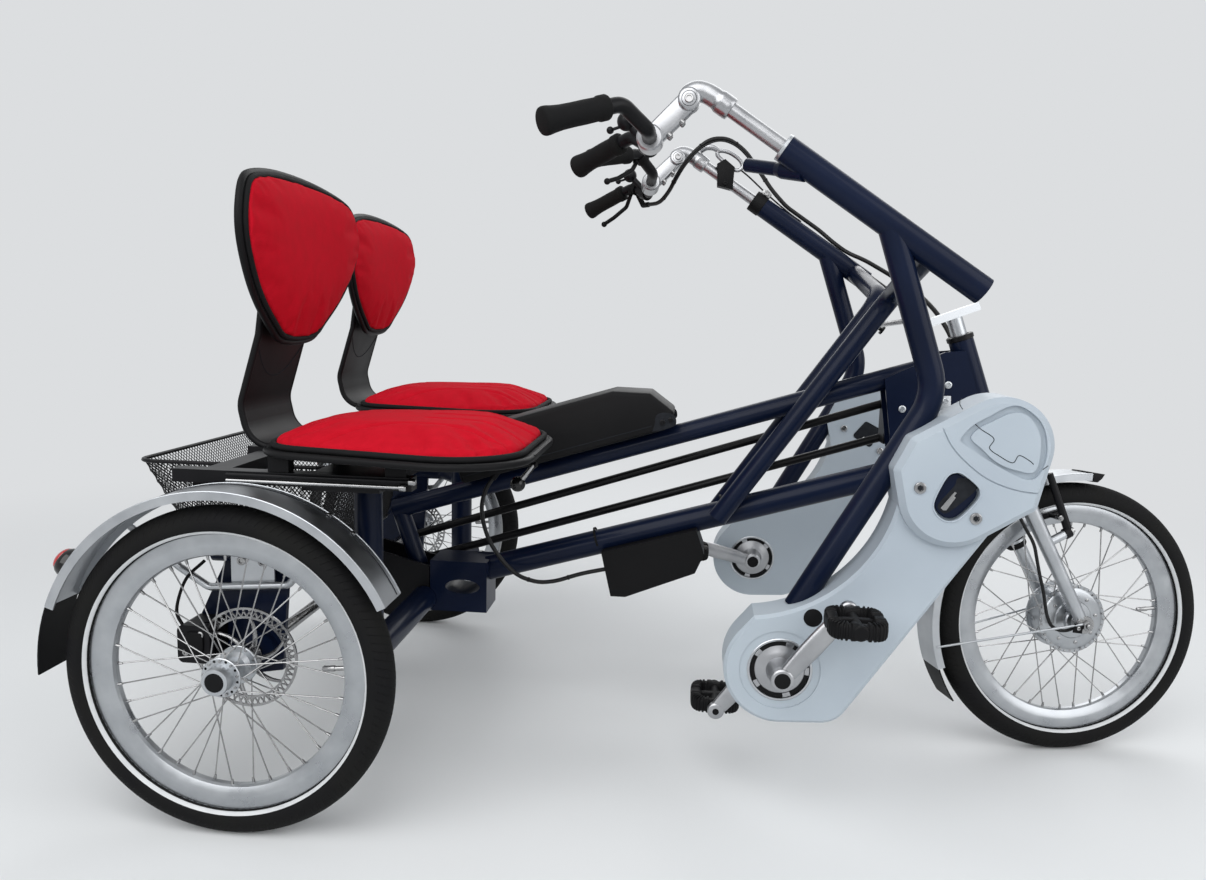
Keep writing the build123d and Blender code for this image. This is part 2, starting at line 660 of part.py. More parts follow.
def chaincase():
    body = side_plate(case_outline(), -CASE_OUTER_Y, -CASE_INNER_Y)
    outer = body.faces().sort_by(Axis.Y)[0]
    body = chamfer(outer.edges(), 5)
    hole = Pos(CRANK_X, 0, CRANK_Z) * disc_on_y(CASE_HOLE, -CASE_OUTER_Y - 5, -CASE_INNER_Y + 5)
    bearing = Pos(CRANK_X, 0, CRANK_Z) * disc_on_y(26, -UNIT_Y - 14, -UNIT_Y + 14)
    web = Pos(CRANK_X, 0, CRANK_Z) * disc_on_y(CASE_HOLE + 2, -UNIT_Y - 3, -UNIT_Y + 3)
    spindle_bore = Pos(CRANK_X, 0, CRANK_Z) * disc_on_y(SPINDLE_RADIUS + 0.05, -500, 0)
    upper = side_plate(cover_outline(), -COVER_OUTER_Y - 5, -CASE_INNER_Y + 5)
    dish = Pos(CRANK_X, 0, CRANK_Z) * disc_on_y(CASE_DISH, -CASE_OUTER_Y - 5, -CASE_OUTER_Y + 1.5)
    return body - hole - dish + (bearing + web) - spindle_bore - upper - down_tube_space()


def crank_arm(y, angle):
    """One crank arm with round eyes at both ends, tapering to the pedal."""
    half = CRANK_THICKNESS / 2
    profile = hull_of([(0, 0, 17), (CRANK_LENGTH, 0, 13)])
    neck = hull_of([(0, 0, 13), (CRANK_LENGTH, 0, 10)])
    arm = side_plate(neck, y - half, y + half)
    arm = arm + disc_on_y(18, y - half - 2, y + half + 2)
    arm = arm + Pos(CRANK_LENGTH, 0, 0) * disc_on_y(14, y - half, y + half)
    arm = arm & side_plate(profile + Circle(18), y - half - 2, y + half + 2)
    return Rot(0, -angle, 0) * arm


def cranks(side):
    """Both crank arms of one rider on their spindle, with the chainring."""
    name = "right" if side < 0 else "left"
    rest = CRANK_REST[name]
    outer_y = -UNIT_Y - CRANK_PLANE
    inner_y = -UNIT_Y + CRANK_PLANE
    pieces = [
        disc_on_y(SPINDLE_RADIUS, outer_y, inner_y),
        crank_arm(outer_y, rest),
        crank_arm(inner_y, rest + 180),
        disc_on_y(CHAINRING_RADIUS, -CASE_OUTER_Y + 4, -CASE_OUTER_Y + 8),
        disc_on_y(20, outer_y, -CASE_OUTER_Y + 6),
    ]
    made = Pos(CRANK_X, 0, CRANK_Z) * fuse(pieces)
    return made if side < 0 else to_left(made)


def pedal_place(side, outer):
    """Middle of a pedal's axle end on its crank, and the way outwards along Y."""
    name = "right" if side < 0 else "left"
    angle = math.radians(CRANK_REST[name] + (0 if outer else 180))
    way = side if outer else -side
    x = CRANK_X + CRANK_LENGTH * math.cos(angle)
    z = CRANK_Z + CRANK_LENGTH * math.sin(angle)
    y = side * UNIT_Y + way * (CRANK_PLANE + CRANK_THICKNESS / 2)
    return x, y, z, way


def pedal(side, outer):
    """Flat pedal: two treads held by a frame, with two windows."""
    x, y, z, way = pedal_place(side, outer)
    gap = 5.0
    body = Box(PEDAL_WIDTH, PEDAL_LENGTH, PEDAL_HEIGHT)
    window = Box(PEDAL_WIDTH * 0.22, PEDAL_LENGTH * 0.62, PEDAL_HEIGHT * 2)
    body = body - Pos(PEDAL_WIDTH * 0.24, 0, 0) * window - Pos(-PEDAL_WIDTH * 0.24, 0, 0) * window
    body = Pos(x, y + way * (gap + PEDAL_LENGTH / 2), z) * body
    low, high = sorted((y + way * 0.3, y + way * (gap + PEDAL_LENGTH * 0.9)))
    axle = Pos(x, 0, z) * disc_on_y(PEDAL_AXLE_RADIUS, low, high)
    return body + axle


# Seats, made with the back at x = 0 and the middle at y = 0

def seat_shell():
    """Moulded shell: a pan on four feet, a neck that bends back and up, and a shield-shaped back."""
    t = SHELL_THICKNESS
    spine = FilletPolyline((420, PAN_Z), (-26, PAN_Z), (-40, PAN_Z + 64), (-8, PAN_Z + 172), (8, PAN_Z + 300),
                           radius=46)
    band = trace(spine, t)
    neck = side_plate(band, -NECK_WIDTH / 2, NECK_WIDTH / 2)
    pan = extrude(Plane.XY.offset(PAN_Z - t / 2) * pan_outline(0), amount=t)
    shield = extrude(Plane.YZ.offset(-40) * back_outline(BACK_RIM), amount=140)
    pieces = [neck, pan, back_sheet(0, t) & shield]
    for x in (40, 220):
        for y in (-RAIL_HALF_GAUGE, RAIL_HALF_GAUGE):
            pieces.append(brick((x - 16, y - 10, RAIL_TOP + FIT), (x + 16, y + 10, PAN_Z)))
    return fuse(pieces)


def back_sheet(front, thickness):
    """Upright sheet, hollow towards the rider, whose rear face is this far in front of x = 0."""
    reach = BACK_CURVE - front
    return Pos(BACK_CURVE + 8, 0, 0) * (Cylinder(reach, 3000) - Cylinder(reach - thickness, 3000))


def pan_outline(inset):
    return hull_of([(94, -70, 90 - inset), (300, -88, 115 - inset), (300, 88, 115 - inset), (94, 70, 90 - inset)])


def back_outline(grow):
    """Shield seen from the front, in Y and Z: a round foot and a broad top, this far outside the cushion."""
    round_it = BACK_HALF + [(-y, z) for y, z in BACK_HALF[:0:-1]]
    points = []
    for number, (y, z) in enumerate(round_it):
        before = round_it[number - 1]
        after = round_it[(number + 1) % len(round_it)]
        along = Vector(after[0] - before[0], after[1] - before[1]).normalized()
        points.append((y + along.Y * grow, PAN_Z + z - along.X * grow))
    return make_face(Spline(*points, periodic=True))


def seat_cushion():
    low = PAN_Z + SHELL_THICKNESS / 2 + FIT
    body = extrude(Plane.XY.offset(low) * pan_outline(12), amount=CUSHION_THICKNESS)
    return fillet(body.edges().group_by(Axis.Z)[-1], 16)


def back_cushion():
    sheet = back_sheet(SHELL_THICKNESS + FIT, BACK_PAD_THICKNESS)
    shield = extrude(Plane.YZ.offset(-40) * back_outline(0), amount=200)
    return sheet & shield


def seat_rails():
    """Two rails on the plate that closes the post, with the lever and ball knob that free the seat."""
    pieces = []
    low = RAIL_TOP - RAIL_HEIGHT
    for y in (-RAIL_HALF_GAUGE, RAIL_HALF_GAUGE):
        pieces.append(brick((RAIL_REAR, y - RAIL_WIDTH / 2, low), (RAIL_FRONT, y + RAIL_WIDTH / 2, RAIL_TOP)))
    for x, half in ((-60, 20), (POST_X, 60)):
        pieces.append(brick((x - half, -RAIL_HALF_GAUGE, low - PLATE_THICKNESS), (x + half, RAIL_HALF_GAUGE, RAIL_TOP - 6)))
    elbow = (408, RAIL_HALF_GAUGE - 10, RAIL_TOP - 13)
    knob = (378, RAIL_HALF_GAUGE - 10, RAIL_TOP - 48)
    pieces.append(rod((POST_X, RAIL_HALF_GAUGE - 10, RAIL_TOP - 13), elbow, 4))
    pieces.append(Pos(*elbow) * Sphere(5))
    pieces.append(rod(elbow, knob, 4))
    pieces.append(Pos(*knob) * Sphere(KNOB_RADIUS))
    return fuse(pieces)


def at_seat(shape, side):
    name = "right" if side < 0 else "left"
    return Pos(SEAT_X[name], side * SEAT_Y, 0) * shape


# Battery, boxes, basket

def battery():
    slope = math.degrees(math.atan2(UPPER_TUBE_FRONT[1] - UPPER_TUBE_REAR[1],
                                    UPPER_TUBE_FRONT[0] - UPPER_TUBE_REAR[0]))
    outline = Polyline((-195, 0), (205, 0), (232, 26), (196, 74), (130, 96), (-175, 96), (-195, 80), close=True)
    body = side_plate(make_face(outline), -62, 62)
    body = fillet(body.edges().filter_by(Axis.Y), 9)
    lift = UPPER_TUBE_RADIUS / math.cos(math.radians(slope)) + 1
    height = height_on(UPPER_TUBE_REAR, UPPER_TUBE_FRONT, BATTERY_AT) + lift
    return Pos(BATTERY_AT, 0, height) * Rot(0, -slope, 0) * body + gland(*BATTERY_CABLE[:2], 6.5, 16)


def controller_box():
    outline = Polyline(*CONTROLLER, close=True)
    lower = middle_tube(LOWER_TUBE_REAR, LOWER_TUBE_FRONT, LOWER_TUBE_RADIUS + FIT)
    return side_plate(make_face(outline), -CONTROLLER_HALF, CONTROLLER_HALF) - lower


def controller_inlet():
    """Where the battery's cable meets the controller box's rear face."""
    (low_x, low_z), (high_x, high_z) = CONTROLLER[:2]
    share = CONTROLLER_INLET / (high_z - low_z)
    return low_x + (high_x - low_x) * share, BATTERY_CABLE[-1][1], low_z + CONTROLLER_INLET


def frame_cables():
    """The cable that goes on from the left handlebar, and the battery's."""
    lifted = [turned_point(on_bar(CABLE_HANDOVER + along, -CABLE_LIFT), bar_turned) for along in (FIT, 30)]
    laid = [on_bar(CABLE_HANDOVER + along, -CABLE_LAID) for along in (67, 105)]
    from_handlebar = cable(lifted + laid + FRAME_CABLE, CABLE_RADIUS)
    from_battery = cable(BATTERY_CABLE + [controller_inlet()], BATTERY_CABLE_RADIUS)
    return Compound(children=solids_of(from_handlebar) + solids_of(from_battery))


def chain_tubes():
    """Two long guide tubes for the drive chain, with the bracket that meets the gusset plate."""
    side = CHAIN_TUBE_Y
    end = in_side_view(on_steerer(146, -164))
    upper = rod((118, side, 334), (end[0], side, end[1] + 33), CHAIN_TUBE_RADIUS)
    lower = rod((118, side, 279), (end[0], side, end[1] - 33), CHAIN_TUBE_RADIUS)
    inner = GUSSET_Y + GUSSET_THICKNESS + FIT
    bracket = brick((end[0] - 4, inner, end[1] - 40), (end[0] + 4, side + 6, end[1] + 42))
    return fuse([upper, lower, bracket])


def differential():
    """Housing between the half shafts, hung from the box by two plates."""
    drum = Pos(0, 0, TYRE_RADIUS) * disc_on_y(62, -48, 48)
    nose = Pos(0, 0, TYRE_RADIUS) * disc_on_y(30, -80, 80)
    plate = make_face(Polyline((-20, 300), (60, 330), (176, 300), (176, 225), (60, 200), (-20, 210), close=True))
    right = side_plate(plate, -41, -35)
    left = side_plate(plate, 35, 41)
    cross = rod((CROSS_X, -200, CROSS_Z), (CROSS_X, 200, CROSS_Z), CROSS_RADIUS + FIT)
    bore = Pos(0, 0, TYRE_RADIUS) * disc_on_y(REAR_AXLE_RADIUS + 0.05, -100, 100)
    box_room = brick((BOX_REAR - FIT, -60, BOX_LOW - 20), (BOX_FRONT, 60, BOX_HIGH + 20))
    return fuse([drum, nose, right, left]) - cross - bore - box_room


def half_shaft():
    """Right-hand shaft from the differential to the wheel, with the brake disc on its boss."""
    hub_face = REAR_FLANGE_OFFSET + FLANGE_THICKNESS / 2 + FIT
    shaft = rod((0, -20, TYRE_RADIUS), (0, -TRACK / 2 + DISC_OFFSET, TYRE_RADIUS), REAR_AXLE_RADIUS)
    boss = disc_on_y(DISC_BOSS, hub_face, DISC_OFFSET + DISC_THICKNESS)
    return shaft + RIGHT_WHEEL_AT * (boss + brake_disc())


def basket():
    """Open basket of wire mesh behind the seats."""
    front_in, rear_in, side_in = BASKET_TAPER
    foot = (BASKET_REAR + rear_in, BASKET_FRONT - front_in, BASKET_HALF - side_in)
    rim_at = (BASKET_REAR, BASKET_FRONT, BASKET_HALF)

    def rounded(size, wall, z):
        x_low, x_high, half = size
        middle = Pos((x_low + x_high) / 2, 0, z)
        return middle * RectangleRounded(x_high - x_low - 2 * wall, 2 * (half - wall), BASKET_CORNER)
    outer = loft([rounded(foot, 0, BASKET_LOW), rounded(rim_at, 0, BASKET_TOP)])
    inner = loft([rounded(foot, BASKET_WALL, BASKET_LOW + BASKET_WALL), rounded(rim_at, BASKET_WALL, BASKET_TOP + FIT)])
    return outer - inner


def mudguard_arc(inner, outer, start, end):
    """A ring sector in X and Z about the origin, from start to end in degrees."""
    ring = Circle(outer) - Circle(inner)
    far = outer * 3
    points = [(0, 0)]
    steps = 5
    for step in range(steps + 1):
        angle = math.radians(start + (end - start) * step / steps)
        points.append((far * math.cos(angle), far * math.sin(angle)))
    return ring & make_face(Polyline(*points, close=True))


def rear_mudguard():
    half = REAR_GUARD_HALF
    outline = mudguard_arc(REAR_GUARD - GUARD_EDGE, REAR_GUARD, REAR_GUARD_START, REAR_GUARD_END)
    hollow = mudguard_arc(REAR_GUARD - GUARD_EDGE - 5, REAR_GUARD - GUARD_THICKNESS, REAR_GUARD_START - 5, REAR_GUARD_END + 5)
    body = side_plate(outline, -half, half)
    return RIGHT_WHEEL_AT * (body - side_plate(hollow, -half + GUARD_THICKNESS, half - GUARD_THICKNESS))


def rear_flap():
    blade = mudguard_arc(REAR_GUARD - GUARD_THICKNESS, REAR_GUARD, REAR_GUARD_END + 0.1, 182)
    return RIGHT_WHEEL_AT * side_plate(blade, -REAR_GUARD_HALF, REAR_GUARD_HALF)


def tail_light():
    """Right-hand lamp, seated on the mudguard."""
    lamp = Cylinder(22, 30, align=(Align.CENTER, Align.CENTER, Align.MIN))
    return RIGHT_WHEEL_AT * Rot(0, -(LAMP_ANGLE - 90), 0) * Pos(0, 0, REAR_GUARD + FIT) * (lamp - back_of_lamp())


def back_of_lamp():
    """The mudguard's curve, cut from the lamp's foot."""
    return Pos(0, 0, -REAR_GUARD - FIT) * disc_on_y(REAR_GUARD + FIT, -60, 60)


def mudguard_stay():
    """Bent tube from the axle arm to the rear mudguard's inner edge, with its plate."""
    plate_y = -ARM_Y - ARM_RADIUS - FIT
    y = plate_y - STAY_PLATE - STAY_RADIUS + 2
    rim_y = -TRACK / 2 + REAR_GUARD_HALF + FIT + STAY_RADIUS
    rear, front = [(REAR_GUARD - below) * Vector(math.cos(math.radians(angle)), 0, math.sin(math.radians(angle)))
                   for below, angle in ((4, 130.9), (12, 55.8))]
    points = [(rear.X, rim_y, TYRE_RADIUS + rear.Z), (-112, y - 8, ARM_Z - 20), (-70, y, ARM_Z - 52),
              (60, y, ARM_Z - 42), (96, y - 8, ARM_Z + 4), (front.X, rim_y, TYRE_RADIUS + front.Z)]
    tube = bent_tube(points, STAY_RADIUS, 14)
    plate = side_plate(Pos(0, ARM_Z - 16) * Rectangle(70, 60), plate_y - STAY_PLATE, plate_y)
    return tube + plate


def brake_caliper():
    """Right-hand caliper, on the carrier plate's lug and over the disc's edge."""
    inner = -CARRIER_Y - CARRIER_THICKNESS / 2 - FIT
    disc = -TRACK / 2 + DISC_OFFSET
    body = brick((-104, disc - 16, TYRE_RADIUS - 8), (-52, inner, TYRE_RADIUS + 52))
    body = fillet(body.edges().filter_by(Axis.Y), 10)
    slot = RIGHT_WHEEL_AT * disc_on_y(DISC_RADIUS + 6, DISC_OFFSET - 2, DISC_OFFSET + DISC_THICKNESS + 2)
    return body - slot


# Steering pieces, made straight ahead

def fork():
    crown = on_steerer(CROWN_DROP)
    axle = Vector(WHEELBASE, 0, TYRE_RADIUS)
    pieces = [rod(crown, on_steerer(-6), STEERER_RADIUS)]
    pieces.append(rod(on_steerer(CROWN_DROP, 0, -FORK_SPREAD - 8), on_steerer(CROWN_DROP, 0, FORK_SPREAD + 8), CROWN_RADIUS))
    pieces.append(rod(on_steerer(CROWN_DROP), on_steerer(HEAD_TOP_DROP + HEAD_LENGTH + HEADSET_GAP), HEAD_RADIUS))
    for side in (-1, 1):
        top = on_steerer(CROWN_DROP, 0, side * FORK_SPREAD)
        end = axle + Vector(0, side * FORK_SPREAD, 0)
        pieces.append(rod(top, end, FORK_LEG_TOP, FORK_LEG_END))
        pieces.append(brake_boss(side))
    pieces.append(rod(axle + Vector(0, -FORK_SPREAD - 16, 0), axle + Vector(0, FORK_SPREAD + 16, 0), FRONT_AXLE_RADIUS))
    route = motor_cable_route()
    pieces.append(gland(route[0], route[1], 5, 24))
    pieces.append(gland(route[-1], route[-2], 4.5, 10))
    return steered(fuse(pieces))


def motor_cable_route():
    return [beside_leg(*place) for place in MOTOR_CABLE]


def motor_cable():
    """Cable of the hub's motor, from the crown to the axle's right end."""
    return steered(cable(motor_cable_route(), MOTOR_CABLE_RADIUS))


def beside_leg(reach, ahead, side):
    """A point this far up the fork leg from the axle and ahead of the leg, at y = side."""
    axle = Vector(WHEELBASE, 0, TYRE_RADIUS)
    up = (on_steerer(CROWN_DROP) - axle).normalized()
    return axle + up * reach + Vector(up.Z, 0, -up.X) * ahead + Vector(0, side, 0)


def brake_boss(side):
    """Pivot that stands on the front of a fork leg."""
    foot = beside_leg(BRAKE_PIVOT, 0, side * FORK_SPREAD)
    step = beside_leg(BRAKE_PIVOT, BRAKE_AHEAD - 6, side * FORK_SPREAD)
    tip = beside_leg(BRAKE_PIVOT, BRAKE_AHEAD + 7, side * FORK_SPREAD)
    return rod(foot, step, 8) + rod(foot, tip, 4)


def rim_brake():
    """Two brake arms with their pads, joined over the tyre by the cable."""
    pieces = []
    for side in (-1, 1):
        eye = rod(beside_leg(BRAKE_PIVOT, BRAKE_AHEAD - 6 + FIT, side * FORK_SPREAD),
                  beside_leg(BRAKE_PIVOT, BRAKE_AHEAD + 5, side * FORK_SPREAD), 10)
        arm = rod(beside_leg(BRAKE_PIVOT, BRAKE_AHEAD + 3, side * FORK_SPREAD),
                  beside_leg(BRAKE_TOP, BRAKE_TOP_AHEAD, side * (FRONT_GUARD_HALF + 13)), 7.5, 6)
        holder = rod(beside_leg(BRAKE_PAD, BRAKE_AHEAD, side * 54),
                     beside_leg(BRAKE_PAD, BRAKE_AHEAD, side * (RIM_WIDTH / 2 + 6)), 4)
        pad = rod(beside_leg(BRAKE_PAD + 6, BRAKE_AHEAD - 27, side * (RIM_WIDTH / 2 + 7)),
                  beside_leg(BRAKE_PAD - 6, BRAKE_AHEAD + 27, side * (RIM_WIDTH / 2 + 7)), 5)
        pin = rod(beside_leg(BRAKE_PIVOT, 0, side * FORK_SPREAD),
                  beside_leg(BRAKE_PIVOT, BRAKE_AHEAD + 20, side * FORK_SPREAD), 4 + FIT)
        pieces.append(fuse([eye, arm, holder, pad]) - pin)
    top = FRONT_GUARD_HALF + 13
    pieces.append(rod(beside_leg(BRAKE_TOP - 2, BRAKE_TOP_AHEAD, -top), beside_leg(BRAKE_TOP - 2, BRAKE_TOP_AHEAD, top), 2.5))
    return steered(fuse(pieces))


def steering_lever():
    """Square lever across the steerer's top."""
    rear = on_steerer(-LEVER_RISE, -LEVER_LENGTH - 12)
    plane = Plane(origin=rear, x_dir=Vector(0, 1, 0), z_dir=STEER_AHEAD)
    bar = extrude(plane * Rectangle(20, LEVER_SECTION), amount=LEVER_LENGTH + 12 + 48)
    pin_hole = rod(on_steerer(-LEVER_RISE - 30, -LEVER_LENGTH), on_steerer(20, -LEVER_LENGTH), TIE_ROD_RADIUS + 0.05)
    return steered(bar - pin_hole)


def front_mudguard():
    """Mudguard with the bracket that meets the crown and two wire stays to the fork's ends."""
    half = FRONT_GUARD_HALF
    outline = mudguard_arc(FRONT_GUARD - GUARD_EDGE, FRONT_GUARD, FRONT_GUARD_START, FRONT_GUARD_END)
    hollow = mudguard_arc(FRONT_GUARD - GUARD_EDGE - 5, FRONT_GUARD - GUARD_THICKNESS, FRONT_GUARD_START - 5,
                          FRONT_GUARD_END + 5)
    guard = side_plate(outline, -half, half)
    guard = guard - side_plate(hollow, -half + GUARD_THICKNESS, half - GUARD_THICKNESS)
    crown = on_steerer(CROWN_DROP) - Vector(WHEELBASE, 0, TYRE_RADIUS)
    reach = crown.length - CROWN_RADIUS - FIT
    angle = math.degrees(math.atan2(crown.Z, crown.X))
    bracket = side_plate(Rot(0, 0, angle) * Pos((FRONT_GUARD + reach) / 2 - 1, 0) * Rectangle(reach - FRONT_GUARD + 2, 26), -10, 10)
    made = FRONT_WHEEL_AT * (guard + bracket)
    low = math.radians(FRONT_GUARD_END - 9)
    foot = Vector(WHEELBASE + (FRONT_GUARD - 6) * math.cos(low), 0, TYRE_RADIUS + (FRONT_GUARD - 6) * math.sin(low))
    for side in (-1, 1):
        end = Vector(WHEELBASE - 6, side * (FORK_SPREAD + FORK_LEG_END + FIT + 3), TYRE_RADIUS + 3)
        made = made + rod(foot + Vector(0, side * (half - 0.5), 0), end, 2.2)
    return steered(made)


def front_flap():
    blade = mudguard_arc(FRONT_GUARD - GUARD_THICKNESS, FRONT_GUARD, FRONT_GUARD_END + 0.1, 214)
    return steered(FRONT_WHEEL_AT * side_plate(blade, -FRONT_GUARD_HALF, FRONT_GUARD_HALF))


# Handlebars, made straight ahead with the tube at y = 0

def from_bar_top(behind, y, above):
    """A place behind and above the handlebar tube's top."""
    return BAR_TUBE_TOP[0] - behind, y, BAR_TUBE_TOP[1] + above


CLAMP = from_bar_top(198, 0, 10)
PIVOT = from_bar_top(142, 0, 66)
BAR_BEND = from_bar_top(198, -74, 10)
GRIP_BEND = from_bar_top(232, -116, 36)
BAR_END = from_bar_top(326, -186, -1)
BAR_RADIUS = 11.0
GRIP_RADIUS = 17.0
LEFT_STEM_OUT = 34.0


def stem():
    """Telescopic tube, elbow and clamp, in the handlebar tube's own plane."""
    inner = rod(on_bar(STEM_DEPTH, y=0), on_bar(-126, y=0), STEM_RADIUS)
    sleeve = rod(on_bar(-96, y=0), on_bar(-134, y=0), STEM_RADIUS + 4)
    elbow_end = on_bar(-128, y=0)
    crook = (PIVOT[0] + 22, PIVOT[2] + 7, 15)
    elbow = side_plate(hull_of([(PIVOT[0], PIVOT[2], 18), (elbow_end.X, elbow_end.Z, 15), crook]), -13, 13)
    pivot = Pos(*PIVOT) * disc_on_y(19, -17, 17)
    link = side_plate(hull_of([(CLAMP[0], CLAMP[2], 13), (PIVOT[0], PIVOT[2], 17)]), -11, 11)
    eye = Pos(*CLAMP) * disc_on_y(19, -22, 22)
    return fuse([inner, sleeve, elbow, pivot, link, eye]) - Pos(*CLAMP) * disc_on_y(BAR_RADIUS, -30, 30)


def handlebar():
    """Swept bar through the clamp, with its ends turned back."""
    right = bent_tube([CLAMP, BAR_BEND, GRIP_BEND, BAR_END], BAR_RADIUS, 28)
    return right + to_left(right)


def grips():
    """Rubber grips over both ends of the bar, closed at their own ends."""
    start = Vector(*GRIP_BEND)
    end = Vector(*BAR_END)
    run = end - start
    grip = rod(start + run * 0.2, end + run * 0.05, GRIP_RADIUS)
    return both(grip - rod(start, end + run * 0.01, BAR_RADIUS + FIT))


def on_left_stem(shape):
    """A piece made at y = 0, on the left stem, which stands further out of its tube and is turned."""
    return bar_turned(Pos(BAR_DOWN * -LEFT_STEM_OUT) * Pos(0, BAR_TUBE_Y, 0) * shape)


def round_bar(piece, gap):
    """The piece with the handlebar's own space cut from it."""
    left_half = to_left(bent_tube([CLAMP, BAR_BEND, GRIP_BEND, BAR_END], BAR_RADIUS + gap, 28))
    return piece - left_half - to_left(left_half)


def bell():
    """Round bell unit with its thumb lever, on the bar's left half beside the clamp."""
    dome = Pos(*from_bar_top(240, 80, 52)) * Sphere(15)
    band = rod(on_bend(0.02), on_bend(0.3), 15)
    link = rod(on_bend(0.16), from_bar_top(236, 80, 48), 7)
    tip = from_bar_top(266, 86, 39.5)
    lever = rod(from_bar_top(244, 82, 46), tip, 2.5)
    return round_bar(fuse([dome, band, link, lever, Pos(*tip) * Sphere(6)]), FIT)


def on_bend(share):
    """A point between the bar's first bend and its second, on the left half."""
    start = Vector(BAR_BEND[0], -BAR_BEND[1], BAR_BEND[2])
    end = Vector(GRIP_BEND[0], -GRIP_BEND[1], GRIP_BEND[2])
    return start + (end - start) * share


def lever_run(side):
    """Brake lever beside one grip: a block round the bar and a curved blade that ends in a ball."""
    points = [from_bar_top(236, 112, 18), from_bar_top(244, 136, -4), from_bar_top(272, 150, -26),
              from_bar_top(294, 166, -38)]
    blade = bent_tube(points, 4.5, 14)
    ball = Pos(*points[-1]) * Sphere(6.5)
    block = rod(on_bend(0.66), on_bend(0.92), 14)
    reach = rod(from_bar_top(236, 110, 30), points[0], 8, 6)
    made = round_bar(fuse([blade, ball, block, reach]), FIT)
    return made if side > 0 else to_left(made)


def brake_levers():
    """Both levers of the left handlebar. The outer one's block carries the sleeve that the cable leaves."""
    first, second = [from_bar_top(*place) for place in HANDLEBAR_CABLE[:2]]
    sleeve = gland(first, second, 6, 22)
    elbow = Vector(*first) + (Vector(*first) - Vector(*second)).normalized() * 22
    neck = rod(on_bend(0.8), elbow, 7, 6) + Pos(elbow) * Sphere(6)
    outer = lever_run(1) + round_bar(fuse([sleeve, neck]), FIT)
    return Compound(children=solids_of(outer) + solids_of(lever_run(-1)))


def handlebar_cable():
    """Cable from the outer lever under the stem and over in an arch to the handlebar tube."""
    route = [from_bar_top(*place) for place in HANDLEBAR_CABLE]
    for along in (-33, 0):
        route.append(on_bar(CABLE_HANDOVER + LEFT_STEM_OUT + along, -CABLE_LIFT, y=0))
    return cable(route, CABLE_RADIUS)


def steering_arm():
    """Arm on the lower end of the left steering shaft, with the stud that drives the rod."""
    start = BAR_TUBE_LENGTH["left"] + 1
    level = STUD_ALONG - 18
    shaft = rod(on_bar(start), on_bar(level + 8), 17)
    arm = rod(on_bar(level), on_bar(level, LEVER_LENGTH), 8)
    stud = rod(on_bar(level, LEVER_LENGTH), on_bar(STUD_ALONG + 19, LEVER_LENGTH), STUD_RADIUS)
    head = rod(on_bar(STUD_ALONG + 14, LEVER_LENGTH), on_bar(STUD_ALONG + 19, LEVER_LENGTH), STUD_EYE + 2)
    return bar_turned(fuse([shaft, arm, stud, head]))


def turned_point(point, turn):
    """Where a turn such as steered takes a point."""
    return turn(Sphere(1).moved(Location(point))).center()


def tie_rod():
    """Rod from the steerer's lever to the stud under the left handlebar, with a wide eye at the stud."""
    pin = turned_point(on_steerer(-LEVER_RISE, -LEVER_LENGTH), steered)
    start = pin + STEER_UP * (LEVER_SECTION / 2 + 1 + TIE_ROD_RADIUS)
    peg = rod(pin - STEER_UP * LEVER_SECTION, start + STEER_UP * TIE_ROD_RADIUS, TIE_ROD_RADIUS)
    boss = rod(pin + STEER_UP * (LEVER_SECTION / 2 + 1), start + STEER_UP * (TIE_ROD_RADIUS + 1), 9)
    stud = turned_point(on_bar(STUD_ALONG, LEVER_LENGTH), bar_turned)
    eye = rod(stud - BAR_DOWN * 4, stud + BAR_DOWN * 4, STUD_EYE + 5)
    bore = rod(stud - BAR_DOWN * 20, stud + BAR_DOWN * 20, STUD_EYE)
    return fuse([peg, boss, rod(start, stud, TIE_ROD_RADIUS), eye]) - bore


# All the pieces by name

def sided(shape, side):
    """A right-hand piece on the side that is asked for."""
    return shape if side < 0 else to_left(shape)


def pair(shape):
    """Both sides' pieces as one node."""
    return Compound(children=solids_of(shape[0]) + solids_of(shape[1]))


